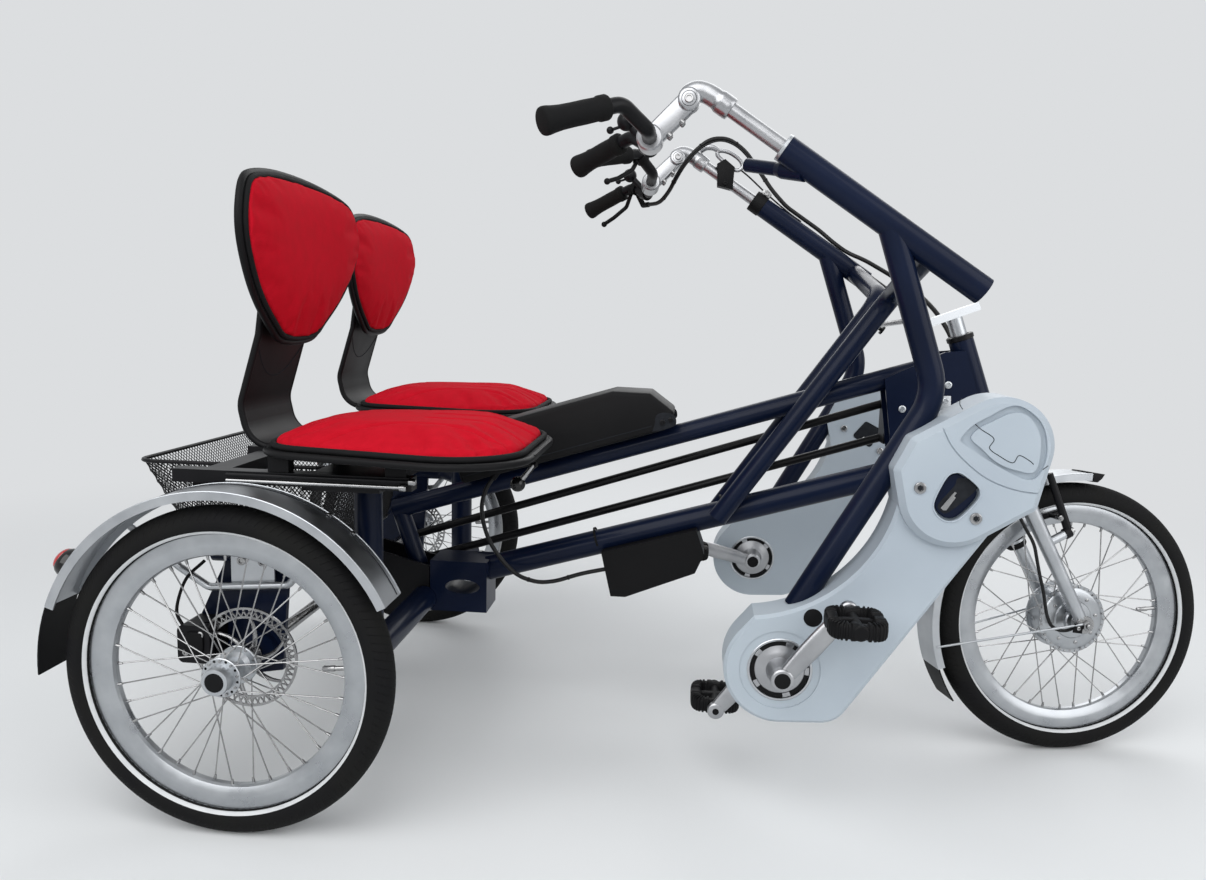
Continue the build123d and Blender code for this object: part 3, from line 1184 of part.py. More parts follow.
def make_parts():
    parts = {}
    parts["main_frame"] = main_frame()
    braces = []
    downs = []
    for name, side in SIDES.items():
        braces.append(brace_tube(side) - upper_tube() - lower_tube() - bar_tube_solid(name))
        downs.append(down_tube(side) - bar_tube_solid(name))
        parts["bar_tube_" + name] = bar_tube(name)
    parts["brace_tubes"] = pair(braces)
    parts["down_tubes"] = pair(downs)
    parts["rear_frame"] = rear_frame()
    case = chaincase()
    cover = drive_cover()
    shell = seat_shell()
    seat_pad = seat_cushion()
    back_pad = back_cushion()
    for name, side in SIDES.items():
        parts["chaincase_" + name] = sided(case, side)
        parts["drive_cover_" + name] = sided(cover, side)
        parts["cranks_" + name] = cranks(side)
        parts["pedal_outer_" + name] = pedal(side, True)
        parts["pedal_inner_" + name] = pedal(side, False)
        parts["seat_shell_" + name] = at_seat(shell, side)
        parts["seat_cushion_" + name] = at_seat(seat_pad, side)
        parts["back_cushion_" + name] = at_seat(back_pad, side)
    parts["seat_rails"] = both(Pos(0, -SEAT_Y, 0) * seat_rails())
    parts["rear_mudguards"] = both(rear_mudguard())
    parts["rear_flaps"] = both(rear_flap())
    parts["tail_lights"] = both(tail_light())
    parts["mudguard_stays"] = both(mudguard_stay())
    parts["brake_calipers"] = both(brake_caliper())
    parts["battery"] = battery()
    parts["controller_box"] = controller_box()
    parts["chain_tubes"] = chain_tubes()
    parts["differential"] = differential()
    parts["basket"] = basket()
    wheel = RIGHT_WHEEL_AT * rear_wheel()
    shaft = half_shaft()
    ring = tyre()
    for name, side in SIDES.items():
        parts["wheel_" + name] = sided(wheel, side)
        parts["half_shaft_" + name] = sided(shaft, side)
        parts["tyre_" + name] = sided(RIGHT_WHEEL_AT * ring, side)
    parts["wheel_front"] = steered(FRONT_WHEEL_AT * front_wheel())
    parts["tyre_front"] = steered(FRONT_WHEEL_AT * ring)
    parts["fork"] = fork()
    parts["steering_lever"] = steering_lever()
    parts["front_mudguard"] = front_mudguard()
    parts["front_flap"] = front_flap()
    parts["rim_brake"] = rim_brake()
    parts["tie_rod"] = tie_rod()
    handlebars = {"stem": stem(), "handlebar": handlebar(), "grips": grips()}
    for piece, shape in handlebars.items():
        parts[piece + "_right"] = Pos(0, -BAR_TUBE_Y, 0) * shape
        parts[piece + "_left"] = on_left_stem(shape)
    parts["bell_right"] = Pos(0, -BAR_TUBE_Y, 0) * bell()
    parts["bell_left"] = on_left_stem(bell())
    parts["brake_levers"] = on_left_stem(brake_levers())
    parts["steering_arm"] = steering_arm()
    parts["cable_handlebar"] = on_left_stem(handlebar_cable())
    parts["cable_frame"] = frame_cables()
    parts["cable_motor"] = motor_cable()
    return parts


def main():
    os.makedirs("parts", exist_ok=True)
    parts = make_parts()
    boxes = [shape.bounding_box() for shape in parts.values()]
    low = min(box.min.X for box in boxes)
    high = max(box.max.X for box in boxes)
    back = Pos(-(low + high) / 2, 0, 0)
    print("middle of the length, from the rear axle:", (low + high) / 2)
    for name, shape in parts.items():
        whole = back * shape
        export_step(Compound(children=solids_of(whole)), "parts/" + name + ".step")


main()
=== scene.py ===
"""The electric side-by-side tandem, dressed for the camera.

Metres. X points forward, Y to the riders' left and Z up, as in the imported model. Places along the cycle are
counted from the rear axle, and MIDDLE takes them to the model's own zero.
"""
import math

import bmesh
import bpy
import numpy as np
from mathutils import Matrix


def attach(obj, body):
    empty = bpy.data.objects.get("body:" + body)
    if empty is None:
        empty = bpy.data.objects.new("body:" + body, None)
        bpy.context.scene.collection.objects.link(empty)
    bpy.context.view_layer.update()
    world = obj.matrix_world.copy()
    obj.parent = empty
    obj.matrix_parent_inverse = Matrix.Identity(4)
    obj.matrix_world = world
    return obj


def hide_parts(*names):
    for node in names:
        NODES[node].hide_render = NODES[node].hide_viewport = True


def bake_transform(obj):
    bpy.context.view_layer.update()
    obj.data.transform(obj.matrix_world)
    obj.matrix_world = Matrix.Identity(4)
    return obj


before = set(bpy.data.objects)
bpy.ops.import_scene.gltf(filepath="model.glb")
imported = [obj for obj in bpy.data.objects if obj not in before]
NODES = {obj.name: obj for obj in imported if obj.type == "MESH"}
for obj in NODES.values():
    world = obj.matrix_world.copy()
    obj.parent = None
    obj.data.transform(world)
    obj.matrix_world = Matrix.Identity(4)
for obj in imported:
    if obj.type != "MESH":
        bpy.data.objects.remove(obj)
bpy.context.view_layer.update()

MIDDLE = 0.66908343892
SIDES = {"right": -1, "left": 1}


# Camera and light

PHOTO_WIDTH = 1206
FOCAL_LENGTH = 920.04
VIEW_ANGLES = 5.2439, 7.8387, 1.4638
VIEW_PLACE = 0.6654 - MIDDLE, -1.7429, 0.7956
AIM = 0, 0, 0.5


def camera_frame():
    """The camera's right, up and backward directions from its yaw, its pitch down and its roll."""
    yaw, pitch, roll = np.radians(VIEW_ANGLES)
    ahead = np.array((-np.sin(yaw) * np.cos(pitch), np.cos(yaw) * np.cos(pitch), -np.sin(pitch)))
    level = np.cross(ahead, (0, 0, 1))
    level /= np.linalg.norm(level)
    over = np.cross(level, ahead)
    right = np.cos(roll) * level + np.sin(roll) * over
    up = np.cos(roll) * over - np.sin(roll) * level
    return right, up, -ahead


def camera():
    """The photograph's view. Its focal length is counted in pixels, and its principal point is its middle."""
    lens = bpy.data.cameras.new("camera")
    lens.lens = FOCAL_LENGTH / PHOTO_WIDTH * lens.sensor_width
    place = np.eye(4)
    place[:3, :3] = np.array(camera_frame()).T
    place[:3, 3] = VIEW_PLACE
    stand = bpy.data.objects.new("camera", lens)
    stand.matrix_world = Matrix(place.tolist())
    bpy.context.collection.objects.link(stand)
    bpy.context.scene.camera = stand


def soft_light(name, place, size, power):
    """A square lamp that faces the middle of the cycle."""
    lamp = bpy.data.lights.new(name, "AREA")
    lamp.size = size
    lamp.energy = power
    away = np.subtract(place, AIM)
    away /= np.linalg.norm(away)
    side = np.cross((0, 0, 1), away)
    side /= np.linalg.norm(side)
    matrix = np.eye(4)
    matrix[:3] = np.transpose((side, np.cross(away, side), away, place))
    stand = bpy.data.objects.new(name, lamp)
    stand.matrix_world = Matrix(matrix.tolist())
    bpy.context.collection.objects.link(stand)


# Materials

def colour(code):
    """An sRGB hex value such as 1d2433, as linear red, green, blue and alpha."""
    parts = np.array([int(code[at:at + 2], 16) for at in (0, 2, 4)]) / 255
    linear = np.where(parts <= 0.04045, parts / 12.92, ((parts + 0.055) / 1.055) ** 2.4)
    return (*linear.tolist(), 1.0)


def add(material, kind, links=None, **settings):
    """Adds a node of a kind, with its settings, and sets or links its inputs."""
    made = material.node_tree.nodes.new("ShaderNode" + kind)
    for key, value in settings.items():
        setattr(made, key, value)
    for socket, value in (links or {}).items():
        if isinstance(value, bpy.types.NodeSocket):
            material.node_tree.links.new(value, made.inputs[socket])
        else:
            made.inputs[socket].default_value = value
    return made


def finish(name, shade, rough, metal=0.0, **more):
    """A new material with its shader, which holds every value that is the same all over."""
    made = bpy.data.materials.new(name)
    made.use_nodes = True
    shader = made.node_tree.nodes["Principled BSDF"]
    shader.inputs["Base Color"].default_value = colour(shade)
    shader.inputs["Roughness"].default_value = rough
    shader.inputs["Metallic"].default_value = metal
    for socket, value in more.items():
        shader.inputs[socket.replace("_", " ")].default_value = value
    return made


def vary(made, shade_low, shade_high, size, rough_low, rough_high, bump=0.0, bump_size=None):
    """Clouds of a size in metres shift the colour and the gloss, and a finer noise raises the surface."""
    shader = made.node_tree.nodes["Principled BSDF"]
    place = add(made, "TexCoord").outputs["Object"]
    clouds = add(made, "TexNoise", {"Vector": place, "Scale": 1 / size, "Detail": 4.0})
    shades = add(made, "ValToRGB", {"Fac": clouds.outputs["Fac"]})
    for stop, code, at in zip(shades.color_ramp.elements, (shade_low, shade_high), (0.3, 0.7)):
        stop.color = colour(code)
        stop.position = at
    made.node_tree.links.new(shades.outputs["Color"], shader.inputs["Base Color"])
    gloss = add(made, "MapRange", {"Value": clouds.outputs["Fac"], "From Min": 0.3, "From Max": 0.7,
                                   "To Min": rough_low, "To Max": rough_high})
    made.node_tree.links.new(gloss.outputs["Result"], shader.inputs["Roughness"])
    if bump:
        grain = add(made, "TexNoise", {"Vector": place, "Scale": 1 / bump_size, "Detail": 2.0})
        raised = add(made, "Bump", {"Height": grain.outputs["Fac"], "Distance": bump, "Strength": 0.6})
        made.node_tree.links.new(raised.outputs["Normal"], shader.inputs["Normal"])
    return made


def tyre_cuts(made):
    """Slanted cuts in the tread. The chart runs once across the tyre and 120 times round it: a cut takes a
    fifth of each repeat, slants away from the middle line at 0.29 and ends at the shoulder."""
    chart = add(made, "SeparateXYZ", {0: add(made, "UVMap", uv_map="chart").outputs["UV"]}).outputs
    off = add(made, "Math", {0: chart["X"], 1: 0.29}, operation="SUBTRACT").outputs[0]
    off = add(made, "Math", {0: off}, operation="ABSOLUTE").outputs[0]
    phase = add(made, "Math", {0: off, 1: 5.0, 2: chart["Y"]}, operation="MULTIPLY_ADD").outputs[0]
    phase = add(made, "Math", {0: phase}, operation="FRACT").outputs[0]
    cut = add(made, "MapRange", {"Value": phase, "From Min": 0.75, "From Max": 0.85}).outputs["Result"]
    crown = add(made, "MapRange", {"Value": off, "From Min": 0.23, "From Max": 0.26,
                                   "To Min": 1.0, "To Max": 0.0})
    depth = add(made, "Math", {0: cut, 1: crown.outputs["Result"]}, operation="MULTIPLY").outputs[0]
    raised = add(made, "Bump", {"Height": depth, "Distance": 0.0012, "Strength": 1.0}, invert=True)
    shader = made.node_tree.nodes["Principled BSDF"]
    made.node_tree.links.new(raised.outputs["Normal"], shader.inputs["Normal"])


# Powder coat: a baked dark blue film with a soft clear gloss over a faint orange peel about 3 mm across
navy = vary(finish("powder_coat_navy", "0b1428", 0.3, Specular_IOR_Level=0.1, Coat_Weight=0.08,
                   Coat_Roughness=0.12), "091124", "0e182f", 0.2, 0.28, 0.36, 0.00006, 0.003)
# Moulded ABS: pale blue grey, fairly matt, with a fine eroded texture from the mould
case_grey = vary(finish("moulded_abs_grey", "a4aeb7", 0.42, Specular_IOR_Level=0.35), "9fa9b3", "abb5bd", 0.3,
                 0.38, 0.47, 0.00004, 0.0015)
# Moulded polypropylene: black with a leathery grain that spreads its highlights
black_plastic = vary(finish("moulded_polypropylene_black", "0e0e0f", 0.5, Specular_IOR_Level=0.12), "0b0b0d",
                     "121213", 0.15, 0.45, 0.58, 0.00008, 0.0015)
# Rubber: nearly black, dull, dusty where it has rolled
rubber = vary(finish("tyre_rubber", "121213", 0.78, Specular_IOR_Level=0.12), "0f0f11", "181817", 0.08,
              0.7, 0.85, 0.0001, 0.001)
# Anodised aluminium: a satin metal, a little uneven
aluminium = vary(finish("anodised_aluminium", "b3b6b9", 0.34, 1.0), "abaeb2", "bbbec1", 0.05, 0.3, 0.4)
# Polished aluminium: bright and smooth, with soft reflections
polished = vary(finish("polished_aluminium", "a5a6a8", 0.26, 1.0), "9d9ea1", "adaeb0", 0.04, 0.27, 0.38)
# Stainless steel: bright, with faint clouds from its rolling
steel = vary(finish("stainless_steel", "9c9c9d", 0.25, 1.0), "939394", "a6a6a6", 0.03, 0.2, 0.32)
# Black powder coat: satin black paint on steel
black_coat = vary(finish("powder_coat_black", "0c0c0e", 0.38, Specular_IOR_Level=0.16), "0a0a0c", "101013",
                  0.1, 0.33, 0.43, 0.00005, 0.002)
# Upholstery cloth: a saturated red knit, quite matt, with a grain about 1 mm across
red_cloth = vary(finish("polyester_knit_red", "b61324", 0.85, Specular_IOR_Level=0.04),
                 "b11121", "bb1526", 0.02, 0.8, 0.92, 0.0003, 0.0012)
# Acrylic lens: deep red under a clear glossy skin
red_lens = vary(finish("acrylic_lens_red", "a01014", 0.12, Coat_Weight=0.6), "8f0e11", "b11317", 0.01,
                0.08, 0.16)
# Rubber with its tread: fine slanted cuts on both shoulders, repeated every 13 mm round the tyre
tread = vary(finish("tyre_rubber_tread", "121213", 0.78, Specular_IOR_Level=0.12), "0f0f11", "181817",
             0.08, 0.7, 0.85)
tyre_cuts(tread)
# Reflecting tape: grey white and slightly glossy
reflector = vary(finish("reflecting_tape", "c9cbcd", 0.4), "c2c4c6", "d0d2d3", 0.03, 0.35, 0.5)
# Turned and anodised rim aluminium
rim_metal = vary(finish("anodised_rim_aluminium", "a6a9ac", 0.3, 1.0), "9ea1a5", "aeb1b4", 0.04, 0.25, 0.36)
# Black woven tape, folded round a cord
piping_cloth = vary(finish("woven_piping_black", "121213", 0.8, Specular_IOR_Level=0.15), "0f0f10", "171718",
                    0.01, 0.75, 0.88, 0.0002, 0.001)
# Moulded phenolic: black and polished, it shows a small sharp highlight
glossy_black = vary(finish("phenolic_black_polished", "0d0d0e", 0.1, Specular_IOR_Level=0.4), "0b0b0c",
                    "101011", 0.03, 0.07, 0.14)
# Thin shadow line between two mouldings, nearly black because no light gets into the gap
gap_black = vary(finish("seam_shadow", "202226", 0.8, Specular_IOR_Level=0.1), "1c1e22", "25272b", 0.01, 0.75,
                 0.85)
# Rubber hose and cable skin: PVC, smooth and slightly glossy
cable_skin = vary(finish("pvc_cable_black", "121213", 0.42, Specular_IOR_Level=0.25), "0f0f10", "161617",
                  0.02, 0.36, 0.48)

WEARS = {
    navy: "main_frame brace_tubes bar_tube_right bar_tube_left down_tubes rear_frame",
    case_grey: "chaincase_right chaincase_left drive_cover_right drive_cover_left",
    black_plastic: "seat_shell_right seat_shell_left battery controller_box rear_flaps front_flap "
                   "pedal_outer_right pedal_outer_left pedal_inner_right pedal_inner_left tail_lights "
                   "grips_right grips_left brake_levers",
    rubber: "tyre_front tyre_right tyre_left",
    aluminium: "wheel_front wheel_right wheel_left fork steering_lever rear_mudguards front_mudguard "
               "cranks_right cranks_left mudguard_stays",
    polished: "stem_right stem_left",
    steel: "half_shaft_right half_shaft_left tie_rod",
    black_coat: "seat_rails basket chain_tubes differential steering_arm handlebar_right handlebar_left "
                "bell_right bell_left rim_brake brake_calipers",
    cable_skin: "cable_handlebar cable_frame cable_motor",
    red_cloth: "seat_cushion_right seat_cushion_left back_cushion_right back_cushion_left",
}
for material, names in WEARS.items():
    for name in names.split():
        slots = NODES[name].data.materials
        slots.clear()
        slots.append(material)


# Shapes

def mm(*places):
    """Places or profiles written in millimetres, as an array in metres."""
    return np.array(places) / 1000


def shell(points, loop=False, ends=True, patches=(1, 1)):
    """The quads between neighbouring points of a grid whose columns go round, or of several such grids.

    loop joins the last row to the first, and ends closes the first and last rows. patches is how often the
    surface's own chart repeats along the rows and the columns.
    """
    points = np.asarray(points, float)
    rows, columns = points.shape[-3:-1]
    grids = points.reshape(-1, rows * columns, 3)
    spans = rows - (not loop), columns
    i, j = (part.ravel()[:, None] for part in np.meshgrid(*map(np.arange, spans), indexing="ij"))
    down = i + np.array((0, 1, 1, 0))
    across = j + np.array((0, 0, 1, 1))
    starts = (np.arange(len(grids)) * rows * columns)[:, None, None]
    faces = (down % rows * columns + across % columns + starts).reshape(-1, 4)
    chart = np.stack((down * patches[0] / spans[0], across * patches[1] / spans[1]), -1)
    charts = np.tile(chart.reshape(-1, 2), (len(grids), 1))
    caps = []
    if ends and not loop:
        around = np.arange(columns)
        caps = np.concatenate((starts[:, 0] + around[::-1], starts[:, 0] + around + (rows - 1) * columns))
    return grids.reshape(-1, 3), faces, charts, caps


def piece(name, parts, material, body, sharp=40, replaces=(), at=None):
    """One object from its parts, which rides on a body. Edges sharper than sharp degrees stay crisp.

    A part is a grid of points, or a grid with what shell is told about it. at takes each grid to its place.
    """
    points, faces, charts, count = [], [], [], 0
    for part in parts:
        grid, told = part if isinstance(part, tuple) else (part, {})
        grid, quads, chart, caps = shell(at(grid) if at else grid, **told)
        points.append(grid)
        faces += (quads + count).tolist()
        faces += [(np.asarray(cap) + count).tolist() for cap in caps]
        charts += [chart, np.zeros((sum(map(len, caps)), 2))]
        count += len(grid)
    made = new_object(name, np.concatenate(points) - (MIDDLE, 0, 0), faces, np.concatenate(charts))
    made.data.set_sharp_from_angle(angle=math.radians(sharp))
    made.data.materials.append(material)
    if body:
        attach(made, body)
    if replaces:
        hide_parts(*replaces)
    return made


def new_object(name, points, faces, chart=None):
    """A smoothly shaded object whose faces point outwards. chart is where each face's corners lie in UV."""
    mesh = bpy.data.meshes.new(name)
    mesh.from_pydata(points.tolist(), [], faces)
    if chart is not None:
        mesh.uv_layers.new(name="chart").data.foreach_set("uv", chart.ravel())
    work = bmesh.new()
    work.from_mesh(mesh)
    bmesh.ops.recalc_face_normals(work, faces=work.faces)
    work.to_mesh(mesh)
    work.free()
    mesh.polygons.foreach_set("use_smooth", [True] * len(mesh.polygons))
    made = bpy.data.objects.new(name, mesh)
    bpy.context.collection.objects.link(made)
    return made


def unit(vectors):
    """Each vector divided by its length."""
    vectors = np.asarray(vectors, float)
    return vectors / np.linalg.norm(vectors, axis=-1, keepdims=True)


def circle(sides):
    """Unit vectors (cosine, sine) in equal steps round a circle."""
    turn = np.linspace(0, 2 * np.pi, sides, endpoint=False)
    return np.stack((np.cos(turn), np.sin(turn)), -1)


def tube(path, radius, sides, loop=False):
    """Circles that stand square to a path at each of its points. radius is a number or one for each point."""
    path = np.asarray(path, float)
    if loop:
        ahead = unit(np.roll(path, -1, -2) - np.roll(path, 1, -2))
    else:
        ahead = unit(np.gradient(path, axis=-2))
    flat = np.abs(ahead).reshape(-1, 3).max(0)
    side = unit(np.cross(ahead, np.eye(3)[flat.argmin()]))
    over = np.cross(ahead, side)
    radius = np.broadcast_to(radius, path.shape[:-1])[..., None, None]
    turn = circle(sides)
    return path[..., None, :] + radius * (side[..., None, :] * turn[:, :1] + over[..., None, :] * turn[:, 1:])


def hoop(path, radius, sides):
    """A tube along a closed path."""
    return tube(path, radius, sides, loop=True), {"loop": True}


def lathe(profile, place=(0, 0, 0), axis=(0, 1, 0), sides=48):
    """A profile of (distance along the axis, radius), turned once round the axis through a place."""
    profile = np.asarray(profile, float)
    axis = unit(axis)
    side = unit(np.cross(axis, np.eye(3)[np.abs(axis).argmin()]))
    turn = circle(sides)
    out = side * turn[:, :1] + np.cross(axis, side) * turn[:, 1:]
    return np.asarray(place) + profile[:, None, :1] * axis + profile[:, None, 1:] * out


def ring(profile, place=(0, 0, 0), axis=(0, 1, 0), sides=48):
    """A closed profile turned round the axis, such as a washer with a hole."""
    return lathe(profile, place, axis, sides), {"loop": True}


def smooth_path(points, count, closed=False):
    """A smooth curve through points: between two of them, a cubic with the slopes of their neighbours."""
    points = np.asarray(points, float)
    number = len(points)
    at = np.linspace(0, number if closed else number - 1, count, endpoint=not closed)
    first = np.minimum(at.astype(int), number - 1 if closed else number - 2)
    share = (at - first)[:, None]
    if closed:
        four = [points[(first + step) % number] for step in (-1, 0, 1, 2)]
    else:
        ends = np.concatenate((2 * points[:1] - points[1:2], points, 2 * points[-1:] - points[-2:-1]))
        four = [ends[first + step] for step in (0, 1, 2, 3)]
    a, b, c, d = four
    return b + share / 2 * (c - a + share * (2 * a - 5 * b + 4 * c - d + share * (3 * b - a - 3 * c + d)))


def rounded_corners(points, radius, count):
    """Straight runs joined by arcs. Each arc's middle lies on the line that halves its corner."""
    points = np.asarray(points, float)
    before, corner, after = points[:-2], points[1:-1], points[2:]
    back, on = unit(before - corner), unit(after - corner)
    half = np.arccos(np.clip((back * on).sum(-1, keepdims=True), -1, 1)) / 2
    middle = corner + unit(back + on) * radius / np.sin(half)
    start = corner + back * radius / np.tan(half) - middle
    end = corner + on * radius / np.tan(half) - middle
    sweep = (np.pi - 2 * half)[:, None]
    share = np.linspace(0, 1, count)[None, :, None]
    arcs = np.sin((1 - share) * sweep) * start[:, None] + np.sin(share * sweep) * end[:, None]
    arcs = (middle[:, None] + arcs / np.sin(sweep)).reshape(-1, points.shape[1])
    return np.concatenate((points[:1], arcs, points[-1:]))


def rounded_outline(corners, radius, count):
    """A closed outline with arcs at its corners, which starts halfway along its first side."""
    middle = (corners[:1] + corners[1:2]) / 2
    return rounded_corners(np.concatenate((middle, corners[1:], corners[:1], middle)), radius, count)[:-1]


def turned_about(points, place, axis, degrees):
    """Points turned about an axis: what lies along the axis stays, the rest follows the sine and cosine."""
    axis = unit(axis)
    reach = np.asarray(points, float) - place
    turn = math.radians(degrees)
    along = (reach @ axis)[..., None] * axis
    return place + along + (reach - along) * math.cos(turn) + np.cross(axis, reach) * math.sin(turn)


def stretched(circles, count, inset=0.0):
    """The line stretched round circles of (x, z, radius), drawn in by inset. In each direction it reaches as
    far as the furthest circle does, and the slope of that reach moves the point sideways."""
    circles = np.asarray(circles, float)
    way = circle(count)
    reach = (circles[:, :2] @ way.T + circles[:, 2:] - inset).max(0)
    slope = (np.roll(reach, -1) - np.roll(reach, 1)) / (4 * np.pi / count)
    square = np.stack((-way[:, 1], way[:, 0]), -1)
    return way * reach[:, None] + square * slope[:, None]


def oval(count, power):
    """A rounded box of unit size: cosine and sine, each raised to 2 / power and kept with its sign."""
    pair = circle(count)
    return np.sign(pair) * np.abs(pair) ** (2 / power)


def slab(outline, low, high, bevel):
    """An anticlockwise outline in X and Z, carried along Y from low to high. Its rims are quarter circles."""
    outline = np.asarray(outline, float)
    low, high = sorted((low, high))
    along = unit(np.roll(outline, -1, 0) - np.roll(outline, 1, 0))
    out = np.stack((along[:, 1], -along[:, 0]), -1)
    turn = np.linspace(0, np.pi / 2, 4)
    draw = bevel * (1 - np.sin(turn))
    step = bevel * (1 - np.cos(turn))
    flat = outline - out * np.concatenate((draw, draw[::-1]))[:, None, None]
    return lifted(flat, np.concatenate((low + step, high - step[::-1]))[:, None])


def lifted(flat, y):
    """Points in X and Z with their Y put in between."""
    return np.stack((flat[..., 0], np.broadcast_to(y, flat.shape[:-1]), flat[..., 1]), -1)


def bolt(place, axis, radius, height):
    """A round screw head with a socket in it: turned from a profile that goes down into the socket."""
    profile = [(height * 0.4, radius * 0.1), (height * 0.4, radius * 0.5), (height, radius * 0.55),
               (height, radius * 0.8), (height * 0.8, radius * 0.97), (0.0, radius), (-0.001, radius)]
    return lathe(profile, place, axis, 24)


def round_y(radius, degrees, y=0.0):
    """Places at a distance from the Y axis, at angles that count upwards from straight ahead."""
    turn = np.radians(degrees)
    return np.stack(np.broadcast_arrays(radius * np.cos(turn), y, radius * np.sin(turn)), -1)


BOTH = (-1, 1)
LEAN = 20
STEER_UP = round_y(1.0, 90 + LEAN)
CROWN = np.array((1.2452, 0, 0.5189))
STEERER_TOP = CROWN + STEER_UP * 0.296
AT_REST = 11
BAR_Y = 0.322
BAR_TOP = np.array((0.792, BAR_Y, 1.044))
BAR_FALL = 33.9
PULLED_OUT = 0.034
BAR_DOWN = round_y(1.0, -BAR_FALL)
TYRE_RADIUS = 0.253
AXLE = np.array((1.388, 0, TYRE_RADIUS))
HALF_TRACK = 0.487
WHEELS = {"right": (0, -HALF_TRACK, TYRE_RADIUS), "left": (0, HALF_TRACK, TYRE_RADIUS), "front": AXLE}
WHEEL_BODIES = {"right": "wheel_right", "left": "wheel_left", "front": "front_wheel"}


def on_steerer(drop):
    """A place this far down the steering axis."""
    return STEERER_TOP - STEER_UP * drop


def steered(points):
    """What was made straight ahead, turned to where the steering rests."""
    return turned_about(points, STEERER_TOP, STEER_UP, AT_REST)


def on_bar(along, below=0.0, y=BAR_Y):
    """A place this far down a handlebar tube from its top, and below it."""
    return np.array((BAR_TOP[0], y, BAR_TOP[2])) + BAR_DOWN * along + np.cross((0, 1, 0), BAR_DOWN) * below


def at_stem(points, name):
    """What was made in a handlebar's own middle plane, on its tube: the left one is pulled out and turned."""
    points = np.asarray(points, float)
    if name == "right":
        return points - (0, BAR_Y, 0)
    return turned_about(points - BAR_DOWN * PULLED_OUT + (0, BAR_Y, 0), BAR_TOP, -BAR_DOWN, AT_REST)


def behind_bar(*places):
    """Places counted from the handlebar tube's top as (behind, y, above), in millimetres."""
    places = mm(*places)
    return np.stack((BAR_TOP[0] - places[..., 0], places[..., 1], BAR_TOP[2] + places[..., 2]), -1)


def beside_leg(reach, ahead, side):
    """A place this far up the fork's leg from the axle and ahead of it, before the fork is turned."""
    up = unit(CROWN - AXLE)
    return AXLE + up * reach + np.cross((0, 1, 0), up) * ahead + np.array((0, side, 0))


def at_wheel(points, name):
    """A wheel's piece, made about the Y axis with its outer side at negative Y, taken to its axle."""
    points = np.asarray(points, float) * ((1, -1, 1) if name == "left" else (1, 1, 1)) + WHEELS[name]
    return steered(points) if name == "front" else points


# Wheels

WALL_TOP = 0.228
WALL_DEPTH = 0.0165
NIPPLE_Y = 0.003
SPOKES = np.arange(36)
SPOKE_ANGLES = SPOKES * 10
SPOKE_SIDES = np.where(SPOKES % 2 == 0, 1, -1)


def wheel_piece(label, parts, material, name, sharp=40, replaces=()):
    """A piece that was made about a wheel's axle and turns with the wheel."""
    piece(label, parts, material, WHEEL_BODIES[name], sharp, replaces, lambda grid: at_wheel(grid, name))


def tyre_section(across):
    """The tyre's outline as (y, radius): a half ellipse over its widest line, then walls that draw in."""
    turn = np.linspace(0, np.pi, across)
    crown = np.stack((0.026 * np.cos(turn), WALL_TOP + 0.025 * np.sin(turn)), -1)
    fall = np.linspace(0, 1, across // 3)[1:]
    wall = np.stack((-0.011 - 0.015 * np.sqrt(1 - fall ** 2), WALL_TOP - WALL_DEPTH * fall), -1)
    return np.concatenate((crown, wall, mm((-10.7, 209.4), (10.7, 209.4)), wall[::-1] * (-1, 1)))


def tyre(name):
    """Tyre, turned round the axle, with the pale reflecting stripe that runs just outside the rim."""
    turned = lathe(tyre_section(36), sides=180)
    wheel_piece("tyre_rubber_" + name, [(turned, {"loop": True, "patches": (1, 120)})], tread, name,
                replaces=("tyre_" + name,))
    radius = np.linspace(0.2180, 0.2136, 4)
    width = 0.0113 + 0.015 * np.sqrt(1 - ((WALL_TOP - radius) / WALL_DEPTH) ** 2)
    stripes = []
    for side in BOTH:
        face = np.stack((side * width, radius), -1)
        stripes.append(ring(np.concatenate((face, face[::-1] - (side * 0.001, 0))), sides=120))
    wheel_piece("tyre_stripe_" + name, stripes, reflector, name)


def rim(name):
    """Deep aluminium rim with a flat flank, a rounded spoke bed and 36 nipples, and its valve."""
    half = mm((11, 209), (11.2, 212.2), (14, 212.2), (13.6, 212.6), (14, 211), (14, 196.5), (13.4, 193),
              (11.2, 186), (8.2, 180), (4, 177.8))
    outline = np.concatenate((half, half[::-1] * (-1, 1)))
    wheel_piece("rim_" + name, [ring(outline, sides=120)], rim_metal, name, 25, ("wheel_" + name,))
    side = SPOKE_SIDES[:, None] * np.array((0, NIPPLE_Y, 0))
    reach = mm(179.2, 173.5, 170.5)[:, None]
    nipples = tube(round_y(1.0, SPOKE_ANGLES)[:, None] * reach + side[:, None], mm(2.4, 2.2, 1.6), 8)
    valve = lathe(mm((183, 3.5), (164, 3.5), (163, 4.5), (146, 4.5), (144, 3)),
                  axis=(math.cos(0.087), 0, math.sin(0.087)), sides=14)
    wheel_piece("nipples_" + name, [nipples, valve], steel, name)


